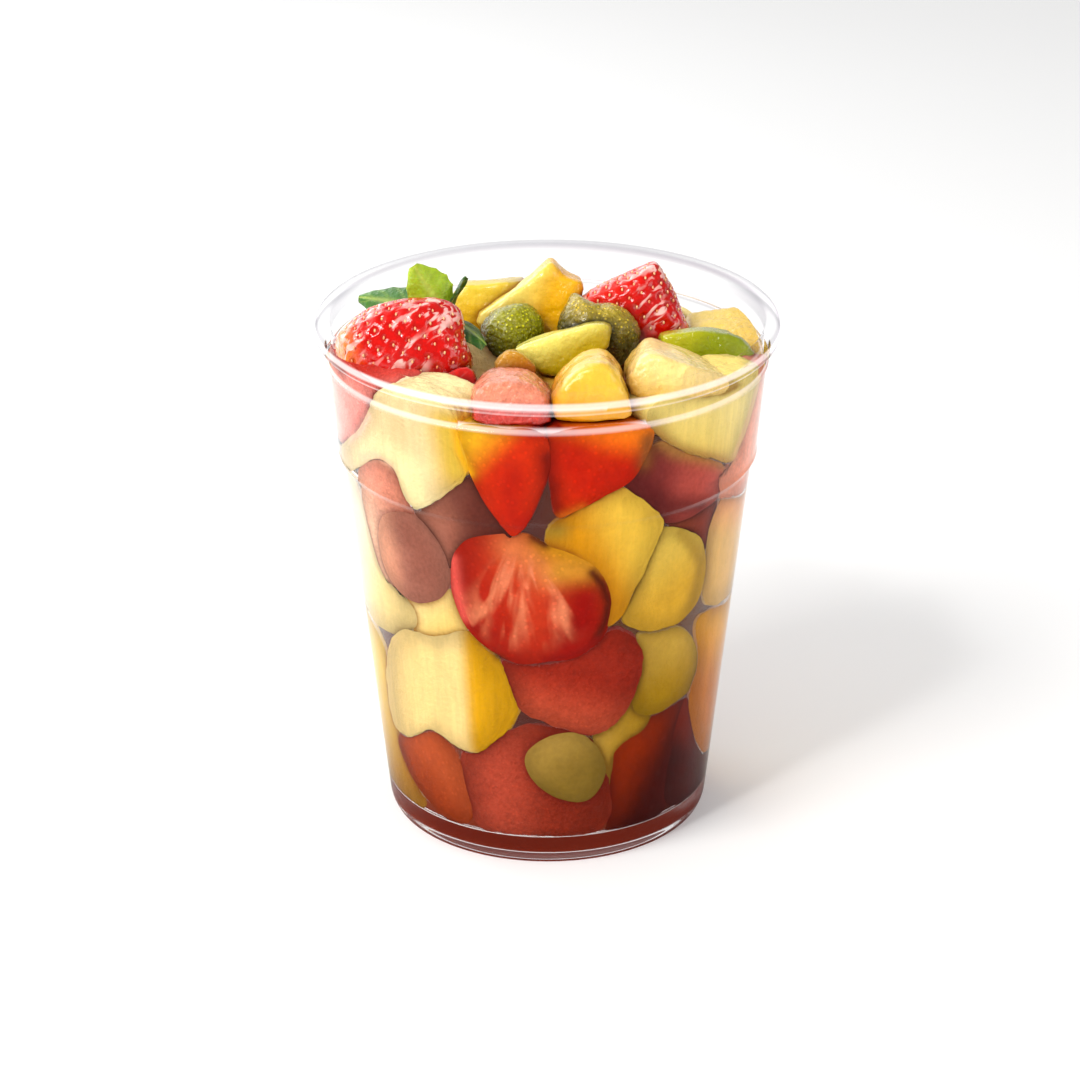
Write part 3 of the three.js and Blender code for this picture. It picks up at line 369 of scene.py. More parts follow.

# Marks on the pieces at the wall: the pieces that carry one, the places (azimuth, level) of the
# line that it follows, how wide it is, its colour, and how strong it is. Most dark marks are painted
# shade, in seams and gaps between pieces and across a piece's shaded part; the others are fruit
# colours, some of which lighten a seam's painted shade.
WALL_MARKS = [
    ("strawberry_half", [(-10, 74), (-6, 67), (0, 60)], 7.0, "c03c1c", 0.6),
    ("strawberry_half", [(-9, 77.5), (-4, 75), (0, 72)], 4.0, "d87844", 0.75),
    ("strawberry_half", [(2, 79), (8, 76), (13, 75)], 4.5, "b87c0c", 1.0),
    ("strawberry_half", [(4, 72.5), (9.5, 72)], 3.2, "c88828", 0.9),
    ("strawberry_half", [(10.5, 65.5), (10, 59), (6, 55)], 4.6, "8c0a04", 1.0),
    ("strawberry_half", [(-27.5, 73), (-27, 66), (-25, 60)], 1.6, "e85c50", 0.7),
    ("strawberry_half grape_dark_left", [(-4, 80.5), (-0.7, 78.8)], 1.1, "4c1408", 0.9),
    ("strawberry_half mango_centre melon_slab watermelon_centre",
     [(12.6, 71.8), (15.8, 68.6), (17.8, 64.1), (16.9, 59.5), (14.5, 55.8)], 1.1, "481004", 0.9),
    ("strawberry_half watermelon_centre",
     [(14.5, 55.8), (10.6, 53.3), (6.6, 52.3), (-0.8, 51.4)], 0.9, "7c0c08", 0.8),
    ("pineapple_small pineapple_big strawberry_half", [(-15.5, 51.6), (-13.5, 51)], 0.9, "4c1c08", 0.8),
    ("strawberry_drop strawberry_red", [(0, 99), (0.5, 93), (-1, 88), (-4, 83.5)], 1.8, "6c0c04", 0.85),
    ("strawberry_red", [(0.5, 93), (2, 86)], 1.8, "6c1004", 0.8),
    ("strawberry_red", [(3, 85), (9, 87.5)], 1.2, "b8580c", 0.8),
    ("grape_dark_left mango_centre", [(0, 91), (0.6, 85)], 2.2, "4c1008", 0.9),
    ("watermelon_top_left", [(-48, 110), (-80, 110)], 2.0, "c42418", 0.95),
    ("pineapple_left", [(-47, 110), (-24, 110)], 2.6, "f8e4a8", 0.95),
    ("pineapple_right", [(28, 110), (70, 110)], 2.4, "f4d878", 0.95),
    ("mango_centre grape_dark_left", [(-1, 82), (3, 82)], 2.2, "987824", 0.8),
    ("grape_left", [(-46, 77), (-38, 74), (-37, 68)], 5.0, "70382c", 0.5),
    ("grape_dark_left", [(-24, 88), (-16, 83), (-20, 77)], 4.5, "4c1c18", 0.45),
    ("grape_upper_right", [(24, 92), (33, 85), (47, 82)], 2.6, "541818", 0.75),
    ("mango_centre", [(13, 72), (20, 64), (18, 60)], 3.0, "b8780c", 0.75),
    ("melon_slab", [(40, 77), (50, 68), (48, 58)], 1.6, "8c681c", 0.5),
    ("pineapple_left", [(-45, 95), (-38, 90), (-36, 86)], 3.0, "ece0a4", 0.6),
    ("pineapple_left", [(-27, 104), (-25, 95)], 2.6, "d8b43c", 0.7),
    ("strawberry_drop", [(-9, 94), (-10, 86), (-7, 84)], 4.0, "a81408", 0.7),
    ("strawberry_red", [(6, 98), (10, 93), (20, 94)], 4.0, "b41404", 0.7),
    ("pineapple_right grape_upper_right",
     [(27.6, 102.5), (31.4, 99.7), (35.5, 97), (42.1, 94.6), (49.8, 92), (57.7, 88.6)], 1.8, "b07c3c", 0.8),
    ("pineapple_right grape_upper_right strawberry_red", [(26.5, 101), (26, 96)], 2.0, "7c4820", 0.85),
    ("pineapple_right watermelon_right", [(72, 103), (65, 95), (60, 90)], 1.5, "dcac78", 0.8),
    ("pineapple_left strawberry_drop", [(-23.5, 105), (-23, 99), (-20.5, 94.5)], 1.2, "eca80c", 0.85),
    ("watermelon_front mango_front strawberry_drop strawberry_red",
     [(-3.5, 105.2), (3, 105.2)], 0.8, "7c1008", 0.95),
    ("watermelon_top_left pineapple_left", [(-53, 101), (-59, 95.5), (-66, 92)], 0.8, "f8c8b0", 0.7),
    ("watermelon_left pineapple_left", [(-60, 89.5), (-52, 92.3), (-45, 91.5)], 1.0, "ecbc98", 0.7),
]

# Colour and blush colour of each fruit, for the pieces at the back and between the toppings. The
# blush is paler and lies towards the top, partly as painted light.
PLAIN_TONES = {
    "strawberry": ("c8180c", "e85a20"),
    "mango": ("e4a020", "f4c448"),
    "pineapple": ("f2d274", "fae49c"),
    "watermelon": ("cc4a3c", "e08a78"),
    "melon": ("d8b44c", "e6cc78"),
    "grape": ("7c3c34", "a05c4c"),
}

# ---- Leaves of the berry on the left, as in the part's source, with their colours ----

CALYX_HUB = (-21.5, -4.3, 114.7)
HUB_SIZE = (5, 5, 3)
LEAVES = [
    {"length": 12, "width": 9.5, "heading": 160, "lift": 54, "twist": -55, "curl": -1,
     "colour": "7c9c0c", "tip": "a4c020"},
    {"length": 21, "width": 8, "heading": 160, "lift": 8, "twist": -50, "curl": 5,
     "colour": "1c4a0c", "tip": "3c7814"},
    {"length": 9, "width": 5, "heading": 50, "lift": 50, "twist": -60, "curl": 0.5,
     "colour": "143008", "tip": "24500c"},
    {"length": 12, "width": 9, "heading": -38, "lift": -14, "twist": -10, "curl": 1.5,
     "colour": "143408", "tip": "2c5c10"},
]


# ---- Numbers and directions ----

def scatter(n):
    """Repeatable number from 0 to 1 for a whole number."""
    wave = np.sin(n * 12.9898) * 43758.5453
    return wave - np.floor(wave)


def turn_matrix(yaw, roll, pitch):
    """Rotation about X by pitch, then about Y by roll, then about Z by yaw, in degrees."""
    (cz, cy, cx), (sz, sy, sx) = (f(np.radians((yaw, roll, pitch))) for f in (np.cos, np.sin))
    about_z = np.array([[cz, -sz, 0], [sz, cz, 0], [0, 0, 1]])
    about_y = np.array([[cy, 0, sy], [0, 1, 0], [-sy, 0, cy]])
    about_x = np.array([[1, 0, 0], [0, cx, -sx], [0, sx, cx]])
    return about_z @ about_y @ about_x


def soft_min(a, b, blend):
    """The smaller of a and b, rounded off by a parabola where they cross within blend."""
    share = np.clip(0.5 + 0.5 * (b - a) / blend, 0, 1)
    return a * share + b * (1 - share) - blend * share * (1 - share)


def ease(value, start, end):
    """0 before start, 1 after end, and a smooth step between."""
    t = np.clip((value - start) / (end - start), 0, 1)
    return t * t * (3 - 2 * t)


def outer_wall(level):
    """Outer radius of the lower wall at a height."""
    return LOWER_WALL_RADIUS + (level - LOWER_WALL_START) * LOWER_WALL_SLOPE


def upper_wall(level):
    """Outer radius of the upper wall at a height."""
    return UPPER_WALL_RADIUS + (level - SHOULDER_LEVEL - SHOULDER_RISE) * UPPER_WALL_SLOPE


def placing_radius(level):
    """Inner radius of the wall that pieces are placed by, as in the part's source."""
    above = UPPER_WALL_RADIUS + (level - SHOULDER_LEVEL) * UPPER_WALL_SLOPE
    return np.where(level < SHOULDER_LEVEL, outer_wall(level), above) - WALL_THICKNESS


def inner_wall(level):
    """Inner radius of the cup: the lower cone, the shoulder's ramp and the upper cone, with a
    quarter round at the floor."""
    level = np.asarray(level, float)
    ramp = (level - SHOULDER_LEVEL) / SHOULDER_RISE
    step = outer_wall(SHOULDER_LEVEL) + (UPPER_WALL_RADIUS - outer_wall(SHOULDER_LEVEL)) * ramp
    radius = np.where(ramp < 0, outer_wall(level), np.where(ramp > 1, upper_wall(level), step))
    radius = np.minimum(radius - WALL_THICKNESS, RIM_INNER_RADIUS)
    below = np.clip(FLOOR_FILLET - (level - FLOOR_TOP), 0, FLOOR_FILLET)
    return radius - FLOOR_FILLET + np.sqrt(FLOOR_FILLET ** 2 - below ** 2)


# ---- Meshes ----

def make_piece(name, points, faces, material, values=None, smooth=True):
    """Mesh object of points in millimetres and of face arrays, each with its own corner count.
    values holds named arrays with one number or three for each point."""
    mesh = bpy.data.meshes.new(name)
    faces = [np.asarray(part) for part in faces if len(part)]
    corners = np.concatenate([part.ravel() for part in faces])
    counts = np.concatenate([np.full(len(part), part.shape[1]) for part in faces])
    mesh.vertices.add(len(points))
    mesh.vertices.foreach_set("co", (np.asarray(points) * MM).ravel())
    mesh.loops.add(len(corners))
    mesh.loops.foreach_set("vertex_index", corners.astype(np.int32))
    mesh.polygons.add(len(counts))
    mesh.polygons.foreach_set("loop_start", (np.cumsum(counts) - counts).astype(np.int32))
    mesh.polygons.foreach_set("use_smooth", np.full(len(counts), smooth))
    for label, array in (values or {}).items():
        kind = "FLOAT" if array.ndim == 1 else "FLOAT_VECTOR"
        layer = mesh.attributes.new(label, kind, "POINT")
        layer.data.foreach_set("value" if array.ndim == 1 else "vector", array.ravel())
    mesh.update(calc_edges=True)
    mesh.validate()
    mesh.materials.append(material)
    piece = bpy.data.objects.new(name, mesh)
    bpy.context.collection.objects.link(piece)
    return piece


def dress(piece, slot, *nodes):
    """The piece rides on the one body and stands for CAD nodes, whose parts it hides. slot is not used."""
    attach(piece, "root")
    if nodes:
        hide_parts(*nodes)


def join_parts(parts):
    """One set of points, faces and values from several, each (points, faces, values)."""
    points = np.concatenate([part[0] for part in parts])
    starts = np.cumsum([0] + [len(part[0]) for part in parts[:-1]])
    faces = np.concatenate([part[1] + start for part, start in zip(parts, starts)])
    values = {key: np.concatenate([part[2][key] for part in parts]) for key in parts[0][2]}
    return points, faces, values


GRIDS = {}  # box grids by their rows, each worked out once


def box_grid(rows):
    """Directions and faces of a closed ball: the six faces of a box, each a grid in two
    parameters a and b from -1 to 1, with points at tan(a pi/4) and tan(b pi/4). Shared edges are
    merged by their whole-number places on the box."""
    if rows not in GRIDS:
        steps = np.arange(rows + 1)
        a, b = np.meshgrid(steps, steps, indexing="ij")
        corner = np.arange(rows * (rows + 1)).reshape(rows, rows + 1)[:, :-1].ravel()
        quad = np.stack([corner, corner + rows + 1, corner + rows + 2, corner + 1], 1)
        places, faces = [], []
        for axis in range(3):
            for side in (0, rows):
                place = np.empty((rows + 1, rows + 1, 3), int)
                place[..., axis] = side
                place[..., (axis + 1) % 3] = a
                place[..., (axis + 2) % 3] = b
                faces.append((quad if side else quad[:, ::-1]) + len(places) * (rows + 1) ** 2)
                places.append(place.reshape(-1, 3))
        keys = np.concatenate(places) @ np.array([(rows + 1) ** 2, rows + 1, 1])
        _, first, merged = np.unique(keys, return_index=True, return_inverse=True)
        grid = np.tan((2 * np.concatenate(places)[first] / rows - 1) * math.pi / 4)
        GRIDS[rows] = grid, merged.ravel()[np.concatenate(faces)]
    return GRIDS[rows]


def turned_profile(profile, segments):
    """Closed surface of a profile of (radius, level) turned round +Z. The first and last points
    lie on the axis, and the profile runs from the underside outwards, up and back in."""
    profile = np.asarray(profile, float)
    rings = profile[1:-1]
    angle = np.arange(segments) * 2 * math.pi / segments
    radius, level = rings[:, :1], rings[:, 1:]
    ring = np.stack([radius * np.cos(angle), radius * np.sin(angle), level + 0 * angle], -1)
    ends = [[0, 0, profile[0, 1]], [0, 0, profile[-1, 1]]]
    points = np.concatenate([ring.reshape(-1, 3), ends])
    row = np.arange(len(rings) - 1)[:, None] * segments
    here, there = np.arange(segments), (np.arange(segments) + 1) % segments
    corners = [row + here, row + there, row + segments + there, row + segments + here]
    quads = np.stack(corners, -1).reshape(-1, 4)
    first, last = len(points) - 2, len(points) - 1
    top = (len(rings) - 1) * segments
    bottom_fan = np.stack([np.full(segments, first), there, here], 1)
    top_fan = np.stack([np.full(segments, last), top + here, top + there], 1)
    return points, [quads, bottom_fan, top_fan]


def round_corners(profile, steps=6):
    """Profile of (radius, level) from corners of (radius, level, reach), each turned into a
    parabola that starts reach before it and ends reach after it, but never past the middle of a
    side."""
    reaches = [reach for _, _, reach in profile]
    profile = np.array([corner[:2] for corner in profile], float)
    t = np.linspace(0, 1, steps + 1)[:, None]
    made = [profile[:1]]
    for i in range(1, len(profile) - 1):
        before, corner, after = profile[i - 1:i + 2]
        into, out = before - corner, after - corner
        start = corner + into * min(reaches[i] / np.hypot(*into), 0.5)
        end = corner + out * min(reaches[i] / np.hypot(*out), 0.5)
        made.append(start * (1 - t) ** 2 + corner * 2 * t * (1 - t) + end * t ** 2)
    made.append(profile[-1:])
    return np.concatenate(made)


# ---- Fruit shapes ----

def outline_rays(corners, cuts):
    """Angles and radii of a closed outline about its middle. Each pass of cuts replaces every
    corner by two points a quarter along its sides, then every side gets eight even points."""
    loop = np.asarray(corners, float)
    for _ in range(cuts):
        after = np.roll(loop, -1, 0)
        loop = np.stack([0.75 * loop + 0.25 * after, 0.25 * loop + 0.75 * after], 1).reshape(-1, 2)
    steps = np.arange(8)[:, None, None] / 8
    loop = (loop + (np.roll(loop, -1, 0) - loop) * steps).reshape(-1, 2)
    angle = np.arctan2(loop[:, 1], loop[:, 0])
    order = np.argsort(angle)
    return angle[order], np.hypot(loop[:, 0], loop[:, 1])[order]


def outline_share(piece, points):
    """How far out points of a piece's own frame lie in its XZ plane, 1 on the piece's outline."""
    angle = np.arctan2(points[:, 2], points[:, 0])
    return np.hypot(points[:, 0], points[:, 2]) / np.interp(angle, *piece["outline"], period=2 * math.pi)


def skin_distance(piece, way):
    """Distance from a piece's middle to its skin along the unit directions way. A piece with an
    outline is the power mean of its outline in the XZ plane and its depth. A plain block is the
    power mean of its six faces and its knife cuts, a round is an ellipsoid and a berry is an
    ellipsoid that narrows to its tip. A few slow waves make every skin uneven."""
    shape, seed = piece["shape"], piece["seed"]
    u = way / piece["half"]
    warp = 1 + WARP_DEPTH * sum(np.sin(WARP_WAVES * way[:, i] + (i + 1) * seed) for i in range(3))
    if piece["outline"]:
        power = piece["power"]
        return (outline_share(piece, way) ** power + np.abs(u[:, 1]) ** power) ** (-1 / power)
    if shape == "block":
        total = (np.abs(u) ** BLOCK_POWER).sum(1)
        for cut in range(2):
            sides = [-1 if scatter(seed + 3 * cut + i) < 0.5 else 1 for i in range(3)]
            reach = CUT_REACH + CUT_SPREAD * scatter(seed + 9 + cut)
            total = total + np.maximum(0, u @ np.array(sides) / reach) ** BLOCK_POWER
        return warp * total ** (-1 / BLOCK_POWER)
    taper = 1.0
    if shape == "berry":
        taper = 1 + 0.18 * way[:, 2] - 0.2 * np.minimum(way[:, 2], 0) ** 2
    return warp / np.sqrt((u[:, 0] / taper) ** 2 + (u[:, 1] / taper) ** 2 + u[:, 2] ** 2)


def ripple(points, size, seed):
    """Smooth random height from -1 to 1: the mean of eight sine waves across the points, each in
    a seeded direction, with wavelengths near size."""
    dice = np.random.default_rng(seed)
    waves = dice.normal(size=(8, 3))
    waves *= (2 * math.pi / size / np.linalg.norm(waves, axis=1) * dice.uniform(0.7, 1.5, 8))[:, None]
    return np.sin(points @ waves.T + dice.uniform(0, 2 * math.pi, 8)).mean(1) * 2


def pit_places(piece):
    """Middles of a berry's pits in its own frame: a golden-angle spiral over its skin, left out at
    the stalk."""
    half = piece["half"]
    count = int(0.8 * (half[0] * half[1] + half[0] * half[2] + half[1] * half[2]) ** 0.98)
    k = np.arange(count) + 0.5
    z = 1 - 2 * k / count
    flat = np.sqrt(1 - z * z)
    angle = np.radians(137.508) * k
    way = np.stack([flat * np.cos(angle), flat * np.sin(angle), z], 1) * half
    way /= np.linalg.norm(way, axis=1)[:, None]
    way = way[way[:, 2] < 0.93]
    return way * skin_distance(piece, way)[:, None]


RELIEF = {  # how uneven each fruit's flesh is: height and wavelength of slow and of fine waves
    "strawberry": (0.25, 9.0, 0.03, 1.6),
    "mango": (0.35, 8.0, 0.07, 2.4),
    "pineapple": (0.30, 7.0, 0.12, 1.9),
    "watermelon": (0.35, 6.0, 0.14, 1.7),
    "melon": (0.30, 8.0, 0.06, 2.2),
    "grape": (0.15, 9.0, 0.03, 2.5),
    "green_grape": (0.10, 9.0, 0.02, 2.5),
    "kiwi": (0.30, 6.0, 0.14, 1.5),
    "kiwi_flesh": (0.25, 7.0, 0.06, 2.0),
    "peach": (0.15, 5.0, 0.05, 1.6),
}


def own_skin(piece, way):
    """Skin of a piece in its own frame along unit directions: the plain shape, slow and fine waves
    and, on a berry, its pits. Returns the points and how deep each lies in a pit, from 0 to 1."""
    skin = way * skin_distance(piece, way)[:, None]
    slow, slow_size, fine, fine_size = RELIEF[piece["fruit"]]
    height = slow * ripple(skin, slow_size, piece["seed"])
    height += fine * ripple(skin, fine_size, piece["seed"] + 1000)
    pit = np.zeros(len(way))
    if piece["seeded"]:
        places = pit_places(piece)
        away = ((skin[:, None] - places) ** 2).sum(2).min(1)
        pit = np.exp(-away / PIT_RADIUS ** 2)
        height -= PIT_DEPTH * pit
    return skin + way * height[:, None], pit


def into_place(piece, points):
    """Points of a piece's own frame turned and carried to its place."""
    return points @ piece["turn_matrix"].T + piece["middle"]


def reach_of(piece, points):
    """How far points lie outside a piece's plain shape, negative inside."""
    own = (points - piece["middle"]) @ piece["turn_matrix"]
    away = np.linalg.norm(own, axis=1)
    way = own / np.maximum(away, 1e-6)[:, None]
    return away - skin_distance(piece, way)


def near_pieces(piece, others):
    """The other pieces that come within 3 mm of a piece's bounding ball."""
    return [
        other for other in others if other is not piece and np.linalg.norm(
            other["middle"] - piece["middle"]
        ) < (max(piece["half"]) + max(other["half"])) * 1.2 + 3
    ]


def in_front(piece, other):
    """True if other lies between piece and the wall, or on top of it."""
    return other["order"] < piece["order"]


def pressed(piece, points, neighbours, bite=0.0):
    """Points held inside the cup. A skin turned to the wall swells a little and turns softly onto
    it, and it dips beside a neighbour that lies in front and runs behind it. Also returns how far
    each point is from the wall."""
    points = points.copy()
    floor = FLOOR_TOP - FLOOR_BITE + FLOOR_STEP * piece["rank"]
    points[:, 2] = -soft_min(-points[:, 2], -floor, FLOOR_BLEND)
    radius = np.hypot(points[:, 0], points[:, 1])
    limit = inner_wall(points[:, 2]) + WALL_BITE + bite - RANK_STEP * piece["rank"]
    dip = np.zeros(len(points))
    swollen = radius
    if piece["on_wall"]:
        away = points[:, :2] - piece["middle"][:2]
        facing = (away * points[:, :2]).sum(1) / radius / max(piece["half"])
        swollen = radius + SWELL * ease(facing, *SWELL_START)
        for other in neighbours:
            if in_front(piece, other):
                gap = reach_of(other, points)
                behind = SEAM_DEPTH * np.exp(-np.maximum(gap, 0) / SEAM_WIDTH) - np.minimum(gap, 0)
                dip = np.maximum(dip, np.minimum(behind, DIP_LIMIT))
    held = soft_min(swollen, limit, PRESS_BLEND if piece["on_wall"] else LOOSE_BLEND)
    held = np.minimum(held, limit) - dip * ease(held, limit - DIP_ZONE[0], limit - DIP_ZONE[1])
    points[:, :2] *= (held / np.maximum(radius, 1e-6))[:, None]
    return points, limit - held


def juice_and_seam_shade(piece, points, lift, neighbours):
    """How dark juice and painted shade make each point, from 0 to 1: beside other pieces, and where
    a skin pressed on the wall has left it."""
    juice_shade = np.zeros(len(points))
    for other in neighbours:
        if in_front(piece, other) or not (piece["on_wall"] or other["on_wall"]):
            gap = np.maximum(reach_of(other, points), 0)
            near, wide = (np.exp(-gap / width) for width in SEAM_SHADE_WIDTHS[piece["on_wall"]])
            juice_shade = np.maximum(juice_shade, 0.5 * near + 0.5 * wide)
    if piece["on_wall"]:
        left = ease(lift, *LIFT_SHADE) * ease(points[:, 2], *LIFT_SHADE_TOP)
        juice_shade = np.maximum(juice_shade, left)
    return juice_shade


def marked(piece, points, colour):
    """The colour of a piece with the marks that lie on it, painted shade among them, and how strong
    they are at each point.
    A mark fades with the square of the distance along the wall from its line."""
    azimuth, level = np.arctan2(points[:, 0], -points[:, 1]), points[:, 2]
    total = np.zeros(len(points))
    for names, line, width, code, strength in WALL_MARKS:
        if piece["name"] in names.split():
            line = np.array(line, float)
            radius = float(placing_radius(line[:, 1].mean()))
            line[:, 0] = np.radians(line[:, 0]) * radius
            places = np.stack([azimuth * radius, level], 1)
            away = np.full(len(points), np.inf)
            for start, end in zip(line[:-1], line[1:]):
                side = end - start
                share = np.clip((places - start) @ side / (side @ side), 0, 1)
                away = np.minimum(away, np.hypot(*(places - start - share[:, None] * side).T))
            share = strength * np.exp(-(away / width) ** 2)
            colour = colour + (tone(code) - colour) * share[:, None]
            total = np.maximum(total, share)
    return colour, total


def skin_mesh(piece, rows, others):
    """Closed skin of a piece in its place, with its values for the materials: tint, the colour, with
    painted light and shade in it; grain, the place in the piece shifted by a step of its own; within,
    the place as a share of the half size; juice_shade and pit, how dark with juice and painted shade
    and how deep in a pit it is; and cut, 1 on the cut face of a halved berry."""
    half = piece["half"]
    grid, faces = box_grid(rows)
    if piece["on_wall"] and piece["outline"]:
        way = grid * (half[0], WALL_INSET, half[2])
    else:
        way = grid * half if piece["shape"] == "block" else grid
    way = way / np.linalg.norm(way, axis=1)[:, None]
    own, pit = own_skin(piece, way)
    neighbours = near_pieces(piece, others)
    points, lift = pressed(piece, into_place(piece, own), neighbours)
    # The blush: the fruit's own second colour, and painted light and shade across the piece
    blush_and_shade = ease((own / half.max()) @ piece["turn_matrix"].T @ piece["blush_and_shade_way"], *piece["blush_and_shade_span"])
    colour = piece["colour"] + (piece["blush_and_shade"] - piece["colour"]) * blush_and_shade[:, None]
    # Painted shade: a piece on the wall is darker towards its outline
    if piece["outline"] and piece["on_wall"]:
        out = ease(outline_share(piece, own), *EDGE_SHADE_START)
        colour = colour * (1 - EDGE_SHADE * out)[:, None]
    colour, share = marked(piece, points, colour)
    values = {
        "tint": colour,
        "grain": own * MM + GRAIN_SHIFT * piece["seed"],
        "within": own / half,
        # Juice and painted shade in the seams and off the wall, taken off where a mark lies
        "juice_shade": juice_and_seam_shade(piece, points, lift, neighbours) * (1 - share),
        "pit": pit,
        "cut": ease(-own[:, 1] / half[1], *CUT_FACE) * (piece["shape"] == "half"),
    }
    return points, faces, values


def achene_mesh(piece, others):
    """Seeds of a berry, one in each pit: small ellipsoids that lie along the skin with their length
    towards the tip. Each axis is worked out for all seeds at once."""
    places = pit_places(piece)
    out = places / piece["half"] ** 2
    out /= np.linalg.norm(out, axis=1)[:, None]
    along = np.array([0, 0, 1]) - out * out[:, 2:]
    along /= np.linalg.norm(along, axis=1)[:, None]
    across = np.cross(along, out)
    grid, faces = box_grid(2)
    ball = grid / np.linalg.norm(grid, axis=1)[:, None] * ACHENE_SIZE
    seeds = (places - out * PIT_DEPTH * ACHENE_DEPTH)[:, None] + sum(
        ball[None, :, i, None] * axis[:, None] for i, axis in enumerate((across, out, along))
    )
    seeds = into_place(piece, seeds.reshape(-1, 3))
    points, _ = pressed(piece, seeds, near_pieces(piece, others), 0.03)
    starts = (np.arange(len(places)) * len(ball))[:, None, None]
    return points, (faces + starts).reshape(-1, 4), {}


# ---- All the pieces, with their places worked out ----

def describe(name, fruit, shape, middle, size, turn, seed, rank, tones, blush_and_shade_way=(0, 0, 1),
             on_wall=False, blush_and_shade_span=(-0.5, 0.9), outline=None, power=None):
    """A piece as a dictionary, with its middle and turn worked out. Its order is its rank, then its
    seed, and ten less off the wall."""
    way = np.asarray(blush_and_shade_way, float)
    return {
        "name": name, "fruit": fruit, "shape": shape, "middle": np.asarray(middle, float),
        "half": np.asarray(size, float) / 2, "turn_matrix": turn_matrix(*turn), "seed": seed,
        "rank": rank, "order": rank + seed * 1e-3 - (0 if on_wall else 10),
        "colour": tone(tones[0]), "blush_and_shade": tone(tones[1]), "blush_and_shade_way": way / np.linalg.norm(way),
        "blush_and_shade_span": blush_and_shade_span, "on_wall": on_wall, "outline": outline,
        "power": power,
        "seeded": fruit == "strawberry" and shape == "berry" and not (on_wall and middle[1] < 0),
    }


def wall_place(azimuth, level):
    """Middle of a piece pressed on the wall."""
    angle = math.radians(azimuth)
    out = float(placing_radius(level)) - WALL_INSET
    return (out * math.sin(angle), -out * math.cos(angle), level)


def turned_blush_and_shade(azimuth, way):
    """Direction, across and up the wall, of a piece's second colour and its painted light and shade."""
    across, up = way
    angle = math.radians(azimuth)
    return (across * math.cos(angle), across * math.sin(angle), up)


def outlined_piece(name, fruit, shape, place, rank, colour, blush_and_shade, way, span, corners, seed):
    """A piece given by its outline on the wall, which is carried onto the plane through its middle
    that faces the wall, and made larger there by as much as it narrows towards the wall."""
    azimuth, level = place
    corners = np.array(corners, float)
    across = float(placing_radius(level)) * np.sin(np.radians(corners[:, 0] - azimuth))
    power = WALL_POWER[shape]
    loop = np.stack([across, corners[:, 1] - level], 1)
    loop *= 1 + WALL_GROWTH / np.hypot(loop[:, 0], loop[:, 1])[:, None]
    loop *= (1 - (2 * WALL_INSET / WALL_DEPTH) ** power) ** (-1 / power)
    size = (np.ptp(across), WALL_DEPTH, np.ptp(loop[:, 1]))
    return describe(
        name, fruit, shape, wall_place(azimuth, level), size, (azimuth, 0, 0), seed, rank,
        (colour, blush_and_shade), turned_blush_and_shade(azimuth, way), True, span,
        outline_rays(loop, WALL_CORNER_CUTS[shape]), power,
    )


def topping_piece(node, fruit, shape, middle, turn, thickness, colour, blush_and_shade, way, span, corners, seed):
    """A piece on top, given by its outline in its own XZ plane."""
    size = (np.ptp([x for x, _ in corners]), thickness, np.ptp([z for _, z in corners]))
    return describe(
        node, fruit, shape, middle, size, turn, seed, TOPPING_RANK, (colour, blush_and_shade), way, False, span,
        outline_rays(corners, TOP_CORNER_CUTS[shape]), TOP_POWER[shape],
    )


def back_pieces(first_seed):
    """Pieces on the side away from the front, in even rows with scattered kinds and sizes."""
    shapes = ("block", "round", "block", "berry", "block")
    blocks = ("mango", "pineapple", "watermelon", "melon")
    made = []
    for row, row_level in enumerate(BACK_LEVELS):
        for i in range(BACK_COUNT):
            n = row * BACK_COUNT + i + 40
            steps = i + 0.35 + 0.3 * (row % 2) + 0.15 * scatter(n)
            azimuth = BACK_START + BACK_SPAN / BACK_COUNT * steps
            level = row_level + 3 * scatter(n + 100) - 1.5
            size = (22 + 5 * scatter(n + 200), WALL_DEPTH, 20 + 4 * scatter(n + 300))
            turn = (azimuth, 50 * scatter(n + 400) - 25, 0)
            shape = shapes[(i + 2 * row) % 5]
            fruit = {"round": ("grape", "watermelon")[row % 2], "berry": "strawberry"}.get(shape)
            fruit = fruit or blocks[(i + row) % 4]
            blush_and_shade_way = turned_blush_and_shade(azimuth, (2 * scatter(n + 900) - 1, 1))
            made.append(describe(
                f"back_{row}_{i}", fruit, shape, wall_place(azimuth, level), size, turn,
                first_seed + len(made), 3 * scatter(n + 500), PLAIN_TONES[fruit], blush_and_shade_way, True,
            ))
    return made


def upper_pieces(first_seed):
    """Pieces showing between the toppings, on a sunflower spiral over the core."""
    shapes = ("block", "berry", "block", "round")
    fruits = ("mango", "strawberry", "pineapple", "watermelon")
    made = []
    for i in range(UPPER_COUNT):
        radius = SPIRAL_PACE * math.sqrt(i + 0.5)
        angle = math.radians(SPIRAL_TURN * i)
        side = 15 + 4 * scatter(i + 600)
        middle = (radius * math.sin(angle), -radius * math.cos(angle), UPPER_LEVEL - 0.09 * radius)
        turn = (360 * scatter(i + 700), 40 * scatter(i + 800), 0)
        fruit = fruits[i % 4]
        made.append(describe(
            f"upper_{i}", fruit, shapes[i % 4], middle, (side, side * 0.9, 12), turn,
            first_seed + i, UPPER_RANK, PLAIN_TONES[fruit],
        ))
    return made


def edge_pieces(first_seed):
    """The named pieces at the edge of the heap under the toppings."""
    return [
        describe(name, fruit, "block", middle, size, turn, first_seed + i, 1, tones)
        for i, (name, fruit, middle, size, turn, tones) in enumerate(EDGE_PIECES)
    ]


